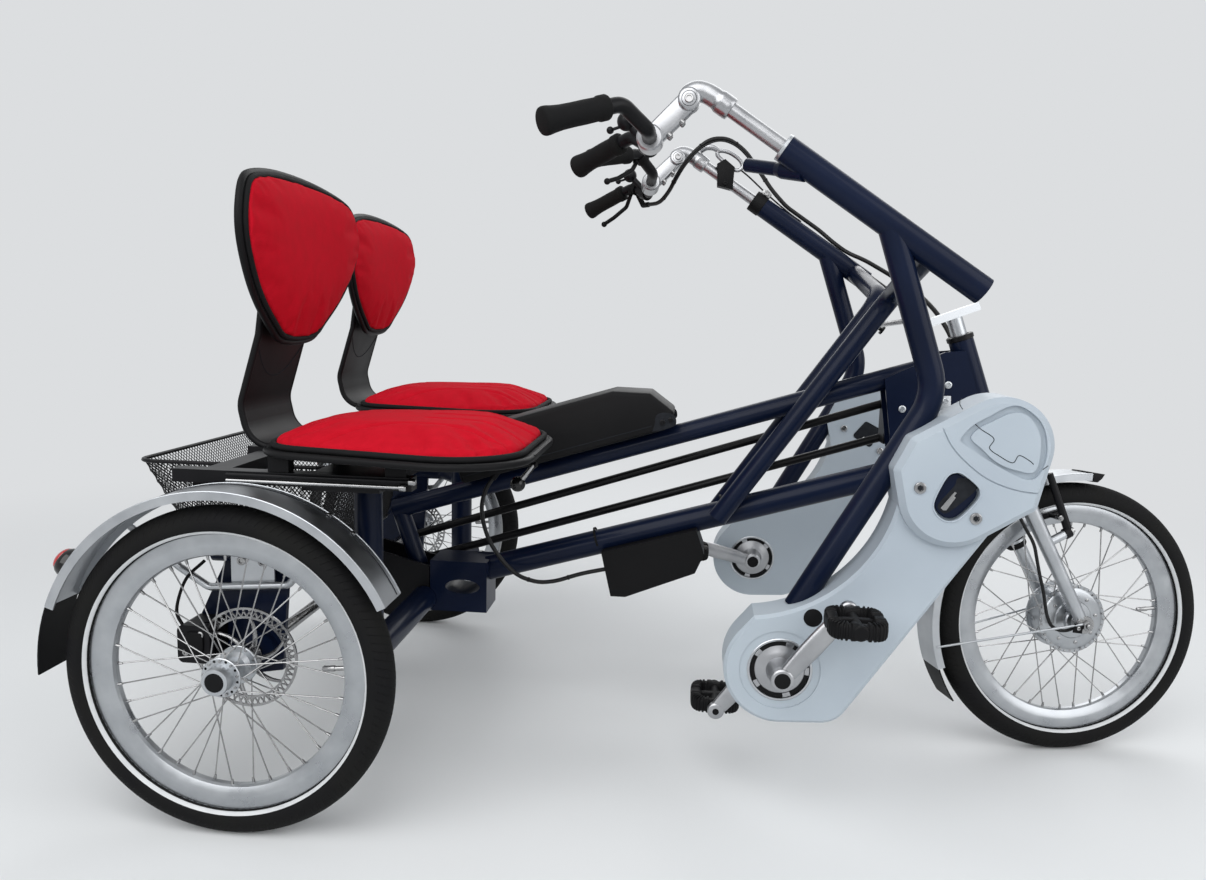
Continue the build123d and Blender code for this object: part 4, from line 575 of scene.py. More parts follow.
def spokes(name, flange, offset):
    """36 crossed spokes from two hub flanges to the rim."""
    lean = np.where(SPOKES // 2 % 2 == 0, 1, -1)
    hub_end = round_y(flange - 0.004, SPOKE_ANGLES + lean * 40, SPOKE_SIDES * (offset + lean * 0.0012))
    rim_end = round_y(0.176, SPOKE_ANGLES, SPOKE_SIDES * NIPPLE_Y)
    path = np.stack((hub_end, hub_end * 0.6 + rim_end * 0.4, rim_end), 1)
    out = SPOKE_SIDES[:, None] * np.array((0, 1, 0))
    heads = np.stack((hub_end - out * 0.002, hub_end + out * 0.0032), 1)
    wheel_piece("spokes_" + name, [tube(path, 0.0011, 8), tube(heads, 0.0022, 8)], steel, name)


def rear_hub(name):
    """Slim hub: two drilled flanges, a waisted barrel, and a black cap on the axle's outer end."""
    flange = mm((-2, 12), (-2, 29), (-1.2, 30), (1.2, 30), (2, 29), (2, 12))
    parts = [ring(flange + (y, 0), sides=64) for y in (-0.026, 0.026)]
    for profile in (mm((-25, 10.5), (-25, 21), (-17, 15.5), (17, 15.5), (25, 21), (25, 10.5)),
                    mm((-47, 14.5), (-47, 19.6), (-46, 20.2), (-28, 20.5), (-27, 14.5))):
        parts.append(ring(profile, sides=64))
    wheel_piece("hub_" + name, parts, aluminium, name, 30)
    cap = lathe(mm((-47.8, 8), (-47.8, 12.6), (-47.2, 14), (-30, 14.4)), sides=40)
    wheel_piece("hub_cap_" + name, [cap], black_plastic, name, 30)


def front_hub():
    """Broad motor hub: a drum with stepped covers, two spoke flanges and a boss round the axle."""
    half = mm((-36, 6.3), (-36, 17), (-34.5, 19.5), (-30, 21), (-28.5, 34), (-26.5, 36), (-26.2, 52),
              (-24.5, 56.5), (-23.5, 58), (-23.5, 63.5), (-22.5, 64), (-20.5, 64), (-20, 63.5), (-19.5, 58.5),
              (0, 57.5))
    whole = np.concatenate((half, half[-2::-1] * (-1, 1)))
    wheel_piece("motor_hub", [ring(whole, sides=96)], rim_metal, "front", 28)


for name, flange, offset in (("right", 0.030, 0.026), ("left", 0.030, 0.026), ("front", 0.064, 0.022)):
    tyre(name)
    rim(name)
    spokes(name, flange, offset)
    if name == "front":
        front_hub()
    else:
        rear_hub(name)


# Seats

BACK_HALF = mm((0, 167), (58, 172), (94, 193), (136, 222), (169, 253), (197, 292), (208, 322), (205, 352),
               (187, 384), (147, 398), (60, 407))
BACK_MIDDLE = np.array((0, 0.300))
PAN_Z = 0.578
PAN_TOP = PAN_Z + 0.0052
SEATS = {"right": (0.020, -0.310), "left": (-0.065, 0.310)}
CLOTH = {"tension_stiffness": 25, "compression_stiffness": 25, "bending_stiffness": 2, "use_pressure": True,
         "uniform_pressure_force": 4}
MOST_SWELL = 0.014


def back_sheet(y, front):
    """How far forward the seat's back stands: a cylinder of 1.2 m round the rider."""
    return 1.208 - np.sqrt((1.2 - front) ** 2 - y ** 2)


def pan_line(inset, count):
    """The pan's outline as (x, y): the line stretched round two circles behind and two larger ones ahead."""
    corners = mm((94, -70, 90), (300, -88, 115), (300, 88, 115), (94, 70, 90))
    return stretched(corners, count, inset)


def pillow(outline, centre, crown, edge):
    """A crowned disc over an outline in the plane: its height falls from crown to edge as the square root of
    what is left to the outline, and its underside is flat. The result is (across, along, height)."""
    share = np.sin(np.linspace(0, np.pi / 2, 26))[:, None]
    spread = centre + share[..., None] * (outline - centre)
    rise = edge + (crown - edge) * np.sqrt(np.clip(1 - share ** 2.6, 0, 1)) * np.ones(len(outline))
    top = np.concatenate((spread, rise[..., None]), -1)
    low = np.concatenate((spread[::-1], np.zeros_like(rise)[..., None]), -1)
    return np.concatenate((top, low))


def inflated(shape, name):
    """The pad after a cloth simulation: the fabric swells under its filling while its underside stays stuck.

    It is remeshed into 6 mm quads, blown up for 20 frames, and no point may move further than MOST_SWELL.
    """
    grid, quads = shell(shape, ends=False)[:2]
    work = new_object(name, grid, quads.tolist())
    remesh = work.modifiers.new("remesh", "REMESH")
    remesh.mode = "VOXEL"
    remesh.voxel_size = 0.006
    apply(work)
    before = coordinates(work.data)
    held = work.vertex_groups.new(name="held")
    held.add(np.flatnonzero(before[:, 2] < 0.003).tolist(), 1.0, "REPLACE")
    settings = work.modifiers.new("cloth", "CLOTH").settings
    settings.vertex_group_mass = "held"
    settings.effector_weights.gravity = 0
    for key, value in CLOTH.items():
        setattr(settings, key, value)
    for number in range(1, 21):
        bpy.context.scene.frame_set(number)
    after = coordinates(work.evaluated_get(bpy.context.evaluated_depsgraph_get()).data)
    work.modifiers.clear()
    bpy.context.scene.frame_set(1)
    moved = after - before
    length = np.linalg.norm(moved, axis=1, keepdims=True)
    after = before + moved * np.minimum(1, MOST_SWELL / np.maximum(length, 1e-9))
    work.data.vertices.foreach_set("co", after.ravel())
    finer = work.modifiers.new("finer", "SUBSURF")
    finer.levels = finer.render_levels = 1
    apply(work)
    return work


def coordinates(mesh):
    """Every vertex of a mesh as rows of x, y, z."""
    values = np.zeros(len(mesh.vertices) * 3)
    mesh.vertices.foreach_get("co", values)
    return values.reshape(-1, 3)


def apply(made):
    """Bakes an object's modifiers into its mesh."""
    result = bpy.data.meshes.new_from_object(made.evaluated_get(bpy.context.evaluated_depsgraph_get()))
    made.modifiers.clear()
    made.data = result


def pressed(points, lines, depth, width):
    """How far sewn lines press a pad's face in: depth on a line, and a bell curve of that width beside it."""
    nearest = np.full(len(points), 1.0)
    for line in lines:
        start, end = line[:-1], line[1:]
        run = end - start
        share = np.clip(((points[:, None] - start) * run).sum(-1) / (run ** 2).sum(-1), 0, 1)
        gap = np.linalg.norm(points[:, None] - start - share[..., None] * run, axis=-1).min(1)
        nearest = np.minimum(nearest, gap)
    return depth * np.exp(-(nearest / width) ** 2)


def cushion(label, name, work, placed):
    """A finished pad: its points, already in place, dressed in cloth."""
    faces = np.zeros(len(work.data.loops), int)
    work.data.loops.foreach_get("vertex_index", faces)
    made = new_object(label + "_cloth_" + name, placed - (MIDDLE, 0, 0), faces.reshape(-1, 4).tolist())
    made.data.materials.append(red_cloth)
    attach(made, "root")
    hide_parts(label + "_" + name)


def on_pan(flat, name):
    """Takes the seat pad's flat shape onto the pan."""
    return flat + (*SEATS[name], PAN_TOP)


def on_back(flat, name):
    """Wraps the back pad's flat shape, (across, up, out), onto the curved back."""
    y, up, out = flat.T
    return np.stack((back_sheet(y, 0.0095 + out) + SEATS[name][0], y + SEATS[name][1], PAN_Z + up), -1)


def at_height(line, height):
    """A flat line with the same third value all along."""
    return np.concatenate((line, np.full((len(line), 1), height)), -1)


def seat_pads(name):
    """The pan's pad with its sewn lines and the back's pad, each with a piping round its edge."""
    flat = coordinates(seat_work.data)
    flat[:, 2] -= pressed(flat[:, :2], SEAT_SEAMS, 0.0060, 0.0038) * (flat[:, 2] > 0.008)
    cushion("seat_cushion", name, seat_work, on_pan(flat, name))
    cushion("back_cushion", name, back_work, on_back(coordinates(back_work.data), name))
    grown = back_line + unit(back_line - BACK_MIDDLE) * 0.001
    piping = [hoop(on_pan(at_height(pan_line(0.010, 120), 0.004), name), 0.0048, 10),
              hoop(on_back(at_height(grown, 0.003), name), 0.0040, 10)]
    piece("cushion_piping_" + name, piping, piping_cloth, "root")


def seat_rims(name):
    """The shell's rolled edges: beads along the outlines of the back and pan and both sides of the neck."""
    at = np.array((*SEATS[name], PAN_Z))
    shield = back_line + unit(back_line - BACK_MIDDLE) * 0.0068
    back = np.stack((back_sheet(shield[:, 0], 0.0045), shield[:, 0], shield[:, 1]), -1)
    spine = rounded_corners(mm((200, 0), (-26, 0), (-40, 64), (-8, 172), (8, 290)), 0.046, 14)
    parts = [hoop(back + at, 0.0056, 10), hoop(at_height(pan_line(0.0, 120), -0.0003) + at, 0.0056, 10)]
    parts += [tube(lifted(spine, side * 0.0825) + at, 0.0054, 10) for side in BOTH]
    piece("seat_rim_" + name, parts, black_plastic, "root")
    turn = np.linspace(-1, 1, 25)
    across, up = 0.078 * turn, 0.150 - 0.045 * (1 - turn ** 2)
    face = np.interp(up, spine[:, 1][20:], spine[:, 0][20:]) + 0.0046
    piece("seat_seam_" + name, [tube(np.stack((face, across, up), -1) + at, 0.0009, 6)], gap_black, "root")


SEAT_SEAMS = [smooth_path(line, 24) for line in (
    mm((100, -150), (150, -118), (220, -92), (300, -98), (370, -120), (410, -128)),
    mm((240, -30), (310, -30), (370, -40), (405, -52)))]
SEAT_SEAMS += [line * (1, -1) for line in SEAT_SEAMS]

seat_work = inflated(pillow(pan_line(0.013, 96), np.array((0.21, 0)), 0.030, 0.013), "seat_work")
back_line = smooth_path(np.concatenate((BACK_HALF, BACK_HALF[:0:-1] * (-1, 1))), 96, closed=True)
back_work = inflated(pillow(back_line, BACK_MIDDLE, 0.020, 0.010), "back_work")
for name in SIDES:
    seat_pads(name)
for name in SIDES:
    seat_rims(name)
for work in (seat_work, back_work):
    bpy.data.objects.remove(work)


# Basket

MESH_FLOOR = 0.3515
WIRES = 160


def round_box(low, high, half, corner):
    """A rectangle with round corners, in order round it, as (x, y)."""
    turn = np.radians(np.linspace(0, 90, 7))
    arc = corner * np.stack((np.cos(turn), np.sin(turn)), -1)
    middles = ((high - corner, half - corner), (low + corner, half - corner))
    upper = np.concatenate((arc + middles[0], (arc[::-1] * (-1, 1)) + middles[1]))
    return np.concatenate((upper, upper[::-1] * (1, -1)))


def basket_wall(u, v):
    """The basket's side: u goes round it and v goes straight up from its foot to its wider rim."""
    lines = round_box(-0.235, 0.030, 0.170, 0.030), round_box(-0.300, 0.060, 0.225, 0.030)
    closed = [np.concatenate((line, line[:1])) for line in lines]
    reach = np.concatenate(((0,), np.cumsum(np.linalg.norm(np.diff(closed[1], axis=0), axis=1))))
    at = u % 1 * reach[-1]
    low, high = [np.stack([np.interp(at, reach, line[:, axis]) for axis in (0, 1)], -1) for line in closed]
    flat = low + (high - low) * v[..., None]
    return np.concatenate((flat, (MESH_FLOOR + 0.1665 * v)[..., None]), -1)


def basket_mesh():
    """Diagonal wire mesh of about 10 mm on the walls and the floor, with thick wires round rim and foot."""
    number = np.arange(WIRES)[:, None]
    v = np.broadcast_to(np.linspace(0, 1, 9), (WIRES, 9))
    parts = [tube(basket_wall(number / WIRES + lean * v * 0.106, v), 0.0009, 4) for lean in BOTH]
    offsets = np.arange(-0.39, 0.39, 0.0142)
    start = np.maximum(-0.235, -0.170 - offsets)
    end = np.minimum(0.030, 0.170 - offsets)
    kept = end - start > 0.01
    runs = np.stack((start, end), -1)[kept]
    for lean in BOTH:
        wires = np.stack((runs, lean * (runs + offsets[kept][:, None]), np.full_like(runs, MESH_FLOOR)), -1)
        parts.append(tube(wires, 0.0009, 4))
    around = np.linspace(0, 1, WIRES, endpoint=False)
    for v, radius in ((1.0, 0.0035), (0.0, 0.0022)):
        parts.append(hoop(basket_wall(around, np.full(WIRES, v)), radius, 10))
    piece("basket_mesh", parts, black_coat, "root", replaces=("basket",))


basket_mesh()


# Pedal units

CRANK = np.array((0.8214, 0, 0.258))
CRANK_REACH = 0.145
CRANK_ANGLES = {"right": 51, "left": -13}
UNIT_Y = 0.3375
CASE_IN = -0.0375
COVER_OUT = 0.0465


def at_unit(points, name):
    """A place counted from the crank's middle as (x, outwards from the unit's middle, z)."""
    points = np.asarray(points, float)
    return (points + (0, UNIT_Y, 0)) * (1, SIDES[name], 1) + CRANK


def unit_piece(label, parts, material, name, body="root", sharp=40, replaces=()):
    """A piece that was made about the crank's middle."""
    piece(label, parts, material, body, sharp, replaces, lambda grid: at_unit(grid, name))


def spun(points, degrees):
    """Turned about the Y axis, so that what lay along X points up by that angle."""
    return turned_about(points, (0, 0, 0), (0, -1, 0), degrees)


def crank_arm(out, degrees):
    """Forged arm: an oval section, narrow at the spindle, broad in the middle and round at the pedal."""
    share = np.linspace(0.0, 1.0, 22)
    width = 0.0115 + 0.0040 * np.sin(np.pi * share) ** 0.8 + 0.0005 * share
    depth = 0.0072 - 0.0012 * share
    section = oval(20, 2.3)
    flat = np.stack((np.broadcast_to(share[:, None] * CRANK_REACH, (22, 20)),
                     out + depth[:, None] * section[:, 1], width[:, None] * section[:, 0]), -1)
    parts = [flat]
    for reach, radius, half in ((0.0, 0.0178, 0.0085), (CRANK_REACH, 0.0138, 0.0065)):
        side = np.array(((-half, radius - 0.003), (0.0008 - half, radius - 0.0012), (0.0025 - half, radius)))
        profile = np.concatenate((side, side[::-1] * (-1, 1))) + (out, 0)
        parts.append(lathe(profile, (reach, 0, 0), sides=40))
    return [spun(grid, degrees) for grid in parts]


def drive(name):
    """Cranks on their spindle, with a dished polished ring in both openings of the case."""
    bright, dark, fixed = [], [], []
    for way, turn, face, lip in ((1, CRANK_ANGLES[name], 0.0245, 0.0270),
                                 (-1, CRANK_ANGLES[name] + 180, 0.0335, 0.0375)):
        bright += crank_arm(0.065 * way, turn)
        dish = mm((-3, 12), (-3, 44.6), (0, 44.6), (0.6, 38), (4.5, 30), (6, 21.5)) + (face, 0)
        dish = np.concatenate((dish, mm((58, 17.5), (58, 12))))
        bright.append(lathe(dish * (way, 1), sides=72))
        cap = mm((74.8, 2), (74.8, 9.5), (74.2, 11.8), (72.8, 12.6), (70, 12.6))
        dark.append(lathe(cap * (way, 1), sides=32))
        inner = mm((57.8, 1), (57.8, 5.4), (60, 5.4))
        dark.append(spun(lathe(inner * (way, 1), (CRANK_REACH, 0, 0), sides=20), turn))
        band = mm((-1, 38.6), (-1, 44.7), (1.6, 44.7), (1.6, 38.6)) + (face, 0)
        dark.append(ring(band * (way, 1), sides=72))
        for number in range(5):
            angles = np.linspace(-8, 8, 5)
            tab = np.concatenate((round_y(0.0384, angles), round_y(0.0451, angles[::-1])))[::-1, ::2]
            bright.append(spun(slab(tab, way * face, way * (face + 0.0022), 0.0003), 72 * number + turn + 20))
        cover = mm((-4, 45), (-4, 48.3), (0.6, 50), (1.4, 48.8), (1, 46.2)) + (lip, 0)
        fixed.append(ring(cover * (way, 1), sides=96))
    body = "cranks_" + name
    unit_piece("crank_set_" + name, bright, polished, name, body, 35, (body,))
    unit_piece("crank_caps_" + name, dark, black_plastic, name, body, 35)
    unit_piece("ring_cover_" + name, fixed, aluminium, name, sharp=35)


def pedal(name, which):
    """Pedal: a toothed ring of rounded-box section round a ribbed middle, on its own axle."""
    way, half_turn = (1, 0) if which == "outer" else (-1, 180)
    rows = 192
    turn = np.linspace(0, 2 * np.pi, rows, endpoint=False)
    line = oval(rows, 4.5) * (0.0325, 0.0365)
    ahead = unit(np.roll(line, -1, 0) - np.roll(line, 1, 0))
    out = np.stack((ahead[:, 1], -ahead[:, 0]), -1)
    section = oval(14, 4)
    tooth = 0.0012 * np.sign(np.sin(turn * 32))
    reach = (0.0088 + tooth * 0.5)[:, None] * section[:, 0]
    flat = line[:, None] + out[:, None] * reach[..., None] + (0, 0.046)
    outer_ring = np.concatenate((flat, ((0.0118 + tooth)[:, None] * section[:, 1])[..., None]), -1)
    core = lathe(mm((4, 8.5), (6, 9.5), (12, 9.5), (14, 8), (78, 8), (80, 11.2), (91.5, 11.2), (93, 9.5)),
                 sides=28)
    ribs = [slab(oval(16, 5) * (0.026, 0.0075), at - 0.006, at + 0.006, 0.0015)
            for at in (0.012, 0.046, 0.080)]
    axle = lathe(mm((-4.8, 5), (6, 5)), sides=16)
    place = round_y(CRANK_REACH, CRANK_ANGLES[name] + half_turn, way * 0.0765)
    body = "pedal_" + which + "_" + name

    def placed(grid):
        """A grid of the outer pedal, turned over for the inner one and moved to its axle."""
        return grid * (1, way, 1) + place
    parts = [(placed(outer_ring), {"loop": True})] + [placed(grid) for grid in [core] + ribs]
    unit_piece(body + "_tread", parts, black_plastic, name, body, 30, (body,))
    unit_piece(body + "_axle", [placed(axle)], steel, name, body)


def cover_details(name):
    """Trim on the pedal unit: the window's lip, its dark blue lining with the slot, screws and fine seams."""
    line = smooth_path(mm((206, 275), (211, 259), (225, 249), (241, 251), (257, 266), (270, 284), (271, 296),
                          (264, 306), (245, 320), (234, 322), (224, 317), (215, 301)), 72, closed=True)
    unit_piece("window_lip_" + name, [hoop(lifted(line, COVER_OUT), 0.0013, 8)], case_grey, name)
    middle = line.mean(0)
    lining = slab(middle + (line - middle) * 0.90, COVER_OUT - 0.0142, COVER_OUT - 0.0062, 0.002)
    unit_piece("window_lining_" + name, [lining], navy, name)
    slot = smooth_path(mm((217.2, 264), (227.8, 260), (251.5, 280), (268, 298.5), (265, 308.5), (241, 313.5),
                          (235, 300), (215, 273.5)), 48, closed=True)
    dark = [slab(slot, COVER_OUT - 0.0070, COVER_OUT - 0.0058, 0.0004)]
    for seam, depth in ((mm((232, 427), (233, 420), (237, 414)), 0),
                        (mm((254, 395), (265, 386), (284, 373), (279, 359), (294, 348), (313, 339),
                            (321, 350), (336, 343), (342, 338)), 0.001),
                        (mm((355, 331), (362, 337)), 0)):
        dark.append(tube(smooth_path(lifted(seam, COVER_OUT - depth), 6 * len(seam)), 0.0006, 6))
    diamond = rounded_outline(mm((204.2, 285.2), (244.4, 260.2), (267.4, 300.8), (232.1, 319.3)), 0.006, 5)
    dark.append(slab(diamond, CASE_IN - 0.0012, CASE_IN + 0.0004, 0.0004))
    bar = mm((217.8, 267.8), (221.7, 264.1), (226.4, 264.3), (238.5, 283.9), (235.8, 285.9), (239.2, 290.8),
             (236, 292.4))
    bright = [slab(bar, COVER_OUT - 0.0062, COVER_OUT - 0.0042, 0.0004)]
    for x, z in mm((185.6, 297), (267.6, 255)):
        dark.append(lathe(mm((1.3, 0.3), (1.3, 4.3), (0, 4.3)), (x, COVER_OUT, z), sides=6))
        bright.append(bolt((x, COVER_OUT, z), (0, 1, 0), 0.0088, 0.0026))
    for x, z, lift in mm((186, 301.1, 0), (266.2, 254.4, 0), (230.4, 277.3, 1)):
        bright.append(bolt((x, CASE_IN - lift, z), (0, -1, 0), 0.0072, 0.0034))
    unit_piece("cover_seams_" + name, dark, gap_black, name)
    unit_piece("cover_screws_" + name, bright, steel, name, sharp=30)
    plug = lathe(mm((29.9, 3), (29.8, 11.5), (29.2, 13.8), (28, 14.6), (20, 14.6)), (0.0458, 0, 0.0861),
                 sides=32)
    unit_piece("case_plug_" + name, [plug], black_plastic, name)


for name in SIDES:
    drive(name)
    for which in ("outer", "inner"):
        pedal(name, which)
    cover_details(name)


# Handlebars

def stem_piece(label, parts, material, name, sharp=40, replaces=()):
    """A piece made in a handlebar's own middle plane. The left one turns with the handlebar."""
    body = "root" if name == "right" else "handlebar_left"
    piece(label, parts, material, body, sharp, replaces, lambda grid: at_stem(grid, name))


def stem_casting(name):
    """Cast elbow, pivot, link and bar clamp on the telescopic tube. The elbow is a tube of changing radius
    along a curve, and the other castings are turned or have quarter-round rims."""
    stem = lathe(mm((-130, 11.5), (55, 11.5)), on_bar(0, y=0), BAR_DOWN, 32)
    curve = smooth_path(behind_bar((79.7, 0, 53.5), (93, 0, 62.5), (106, 0, 71.2), (119, 0, 77.6),
                                   (131, 0, 79), (141, 0, 74), (146, 0, 66)), 40)
    radius = np.interp(np.linspace(0, 1, 40), (0, 0.03, 0.22, 0.26, 0.5, 0.8, 1),
                       mm(16, 17, 17.2, 15.2, 15, 16, 15))
    pivot, clamp = behind_bar((142, 0, 66), (198, 0, 10))
    disc = lathe(mm((-17.8, 13), (-17, 15), (-15, 16.6), (15, 16.6), (17, 15), (17.8, 13)), pivot, sides=44)
    ends = np.array(((clamp[0], clamp[2], 0.0160), (pivot[0], pivot[2], 0.0165)))
    link = slab(stretched(ends, 64), -0.0118, 0.0118, 0.0065)
    jaw = mm((-22, 11.3), (-22, 17.2), (-19.5, 19.6), (19.5, 19.6), (22, 17.2), (22, 11.3))
    parts = [stem, tube(curve, radius, 32), disc, link, ring(jaw, clamp, sides=44)]
    stem_piece("stem_casting_" + name, parts, polished, name, 35, ("stem_" + name,))
    profile = mm((1.2, 1), (1.2, 3.4), (3.6, 3.8), (3.6, 5.8), (2.6, 6.8), (-1, 6.8))
    screws = [lathe(profile, pivot + (0, way * 0.0176, 0), (0, way, 0), 24) for way in BOTH]
    profile = mm((0, 4.6), (5.6, 4.6), (6.6, 3.6), (6.6, 2.2), (4, 2))
    for place in behind_bar((171, -8, 17), (171, 8, 17), (153, -8, 36), (153, 8, 36)):
        screws.append(lathe(profile, place, (0.78, 0, -0.63), 18))
    stem_piece("stem_screws_" + name, screws, steel, name, 30)
    groove = ring(mm((-18, 10.4), (-18, 11.2), (-17.6, 11.2), (-17.6, 10.4)), pivot, sides=40)
    stem_piece("stem_gaps_" + name, [groove], gap_black, name)


def grip_pair(name):
    """Moulded rubber grips: a collar, a slim waist and a flared end, turned about the bar's two ends."""
    bend, end = behind_bar((232, -116, 36), (326, -186, -1))
    share = np.array((0.0, 0.012, 0.03, 0.13, 0.145, 0.16, 0.35, 0.55, 0.72, 0.84, 0.91, 0.96, 0.985, 1.0))
    radius = mm(13.5, 16.5, 17.4, 17.4, 16.8, 15.8, 16.2, 16, 16.4, 17.6, 18.8, 19, 18.2, 15)
    profile = np.stack((np.linalg.norm(end - bend) * (0.2 + 0.85 * share), radius), -1)
    grips = [lathe(profile, bend * (1, side, 1), (end - bend) * (1, side, 1), 40) for side in BOTH]
    stem_piece("grip_rubber_" + name, grips, rubber, name, 50, ("grips_" + name,))


def lever_unit():
    """Silver cable lever on the left stem, with its slot, black clamp block and thin cable to the tube."""
    slot = mm((713, 1149), (734, 1145.5), (756, 1131), (763, 1116.5), (752, 1108.5), (735, 1117), (718, 1130),
              (708, 1141))
    arm = smooth_path(lifted(mm((670, 1149), (683, 1156), (698, 1155.5), (712, 1148)), BAR_Y), 20)
    radius = np.interp(np.linspace(0, 1, 20), (0, 0.6, 1), mm(7.5, 6.8, 5.2))
    parts = [hoop(smooth_path(lifted(slot, BAR_Y), 48, closed=True), 0.0046, 12), tube(arm, radius, 16)]
    piece("lever_unit", parts, polished, "handlebar_left")
    block = mm((710, 1074), (743, 1066), (746, 1113), (725, 1130), (708, 1120))
    parts = [slab(block, BAR_Y - 0.017, BAR_Y + 0.017, 0.0025),
             bolt((0.7270, BAR_Y - 0.0172, 1.0790), (0, -1, 0), 0.0052, 0.003)]
    piece("lever_clamp", parts, black_plastic, "handlebar_left", 35)
    route = mm((756, 322, 1112), (780, 321, 1093), (810, 320, 1066), (840, 318, 1040.5), (869, 318, 1018),
               (893, 319, 1002))
    made = piece("cable_thin", [tube(smooth_path(route, 60), 0.0018, 8)], cable_skin, None)
    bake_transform(made)


def bar_ends():
    """The pale ring in the right tube's mouth, the left tube's black collar and its clamping screw."""
    mouth = mm((-3, 12.2), (-3, 20.5), (-2.2, 21.3), (2.2, 21.3), (3, 20.5), (3, 12.2))
    piece("bar_ring_right", [ring(mouth, on_bar(0, y=-BAR_Y), BAR_DOWN)], aluminium, "root", 30)
    collar = mm((-5, 12.2), (-5, 21.6), (-3, 22.8), (20, 22.8), (22, 21.4), (22, 12.2))
    piece("bar_collar_left", [ring(collar, on_bar(0), BAR_DOWN)], black_plastic, "root", 30)
    lug = spun(slab(oval(16, 5) * (0.011, 0.006), -0.010, 0.010, 0.002), -BAR_FALL)
    place = on_bar(0.012, -0.026)
    parts = [lug + place, bolt(place - (0, 0.010, 0), (0, -1, 0), 0.0052, 0.005),
             lathe(mm((-4, 4.6), (4, 4.6)), on_bar(0.012, -0.030), np.cross(BAR_DOWN, (0, 1, 0)), 6)]
    piece("bar_clamp_left", parts, steel, "root", 30)


def cable_ties():
    """Ties round the cables, on their straight runs, and the thinner cable that runs beside the arch."""
    route = behind_bar((195, 104, -5), (173, 68, -11), (155, 22, 3), (141, -24, 30), (115, -53, 63),
                       (80, -61, 92), (41, -54, 97), (3, -41, 78), (-30, -26, 42), (-63, -13, 2),
                       (-96, -7, -30))
    middles = (route[:-1] + route[1:]) / 2
    ways = np.diff(route, axis=0)
    band = mm((-1.5, 4.2), (-1.5, 5.4), (1.5, 5.4), (1.5, 4.2))
    ties = [ring(band, middles[at], ways[at], 20) for at in (2, 4, 6, 8)]
    stem_piece("cable_ties", ties, black_plastic, "left")
    beside = smooth_path(middles[1:] + (0, -0.004, 0), 70) + (0, 0, -0.0062)
    stem_piece("cable_second", [tube(beside, 0.0021, 8)], cable_skin, "left")
    low = mm((353, -47, 290), (392, -44, 279), (425, -42, 283), (473, -38, 299.7))
    parts = [ring(band * (1, 0.9), (low[at] + low[at + 1]) / 2, low[at + 1] - low[at], 20) for at in (0, 2)]
    strap = mm((-2, 24.2), (-2, 25), (2, 25), (2, 24.2))
    parts += [ring(strap, place, (0.954, 0, 0.300), 40) for place in mm((500, 0, 358.5), (740, 0, 433.9))]
    piece("frame_ties", parts, black_plastic, "root")


for name in SIDES:
    stem_casting(name)
    grip_pair(name)
lever_unit()
bar_ends()
cable_ties()


# Frame, battery and seat details

def frame_details():
    """Screws and the silver bracket on the gusset, headset rings, and the down tubes' feet in the cases."""
    parts = [bolt((x, -0.0272, z), (0, -1, 0), 0.0066, 0.0032)
             for x, z in mm((1054.3, 636.5), (1132.5, 682.9), (1061.9, 603.6), (1054.7, 551.5))]
    bracket = mm((1118.1, 628), (1129, 623), (1140.8, 630.7), (1138.4, 663.4), (1115.6, 662.6))
    parts += [slab(bracket, -0.0300, -0.0268, 0.0006),
              bolt((1.1290, -0.0300, 0.6540), (0, -1, 0), 0.0055, 0.003)]
    piece("gusset_screws", parts, aluminium, "root", 30)
    profile = mm((-1.8, 16.5), (-1.8, 22.8), (-0.4, 24), (7, 24), (8.2, 22.8), (8.2, 16.5)) * (0.9, 1)
    for label, drop, way, material in (("headset_top", 0.0280, 1, black_coat),
                                       ("headset_low", 0.2590, -1, aluminium)):
        piece(label, [ring(profile * (way, 1), on_steerer(drop), -STEER_UP, 40)], material, "root", 30)
    foot, bend = mm((862, 0, 376), (1036, 0, 688))
    way = unit(foot - bend)
    path = np.array((foot - way * 0.012, foot + way * 0.034))
    piece("tube_feet", [tube(path + (0, side * BAR_Y, 0), 0.0194, 32) for side in BOTH], navy, "root")


TUBE_SLOPE = 17.17
BATTERY_PLACE = 0.430, 0, 0.5249


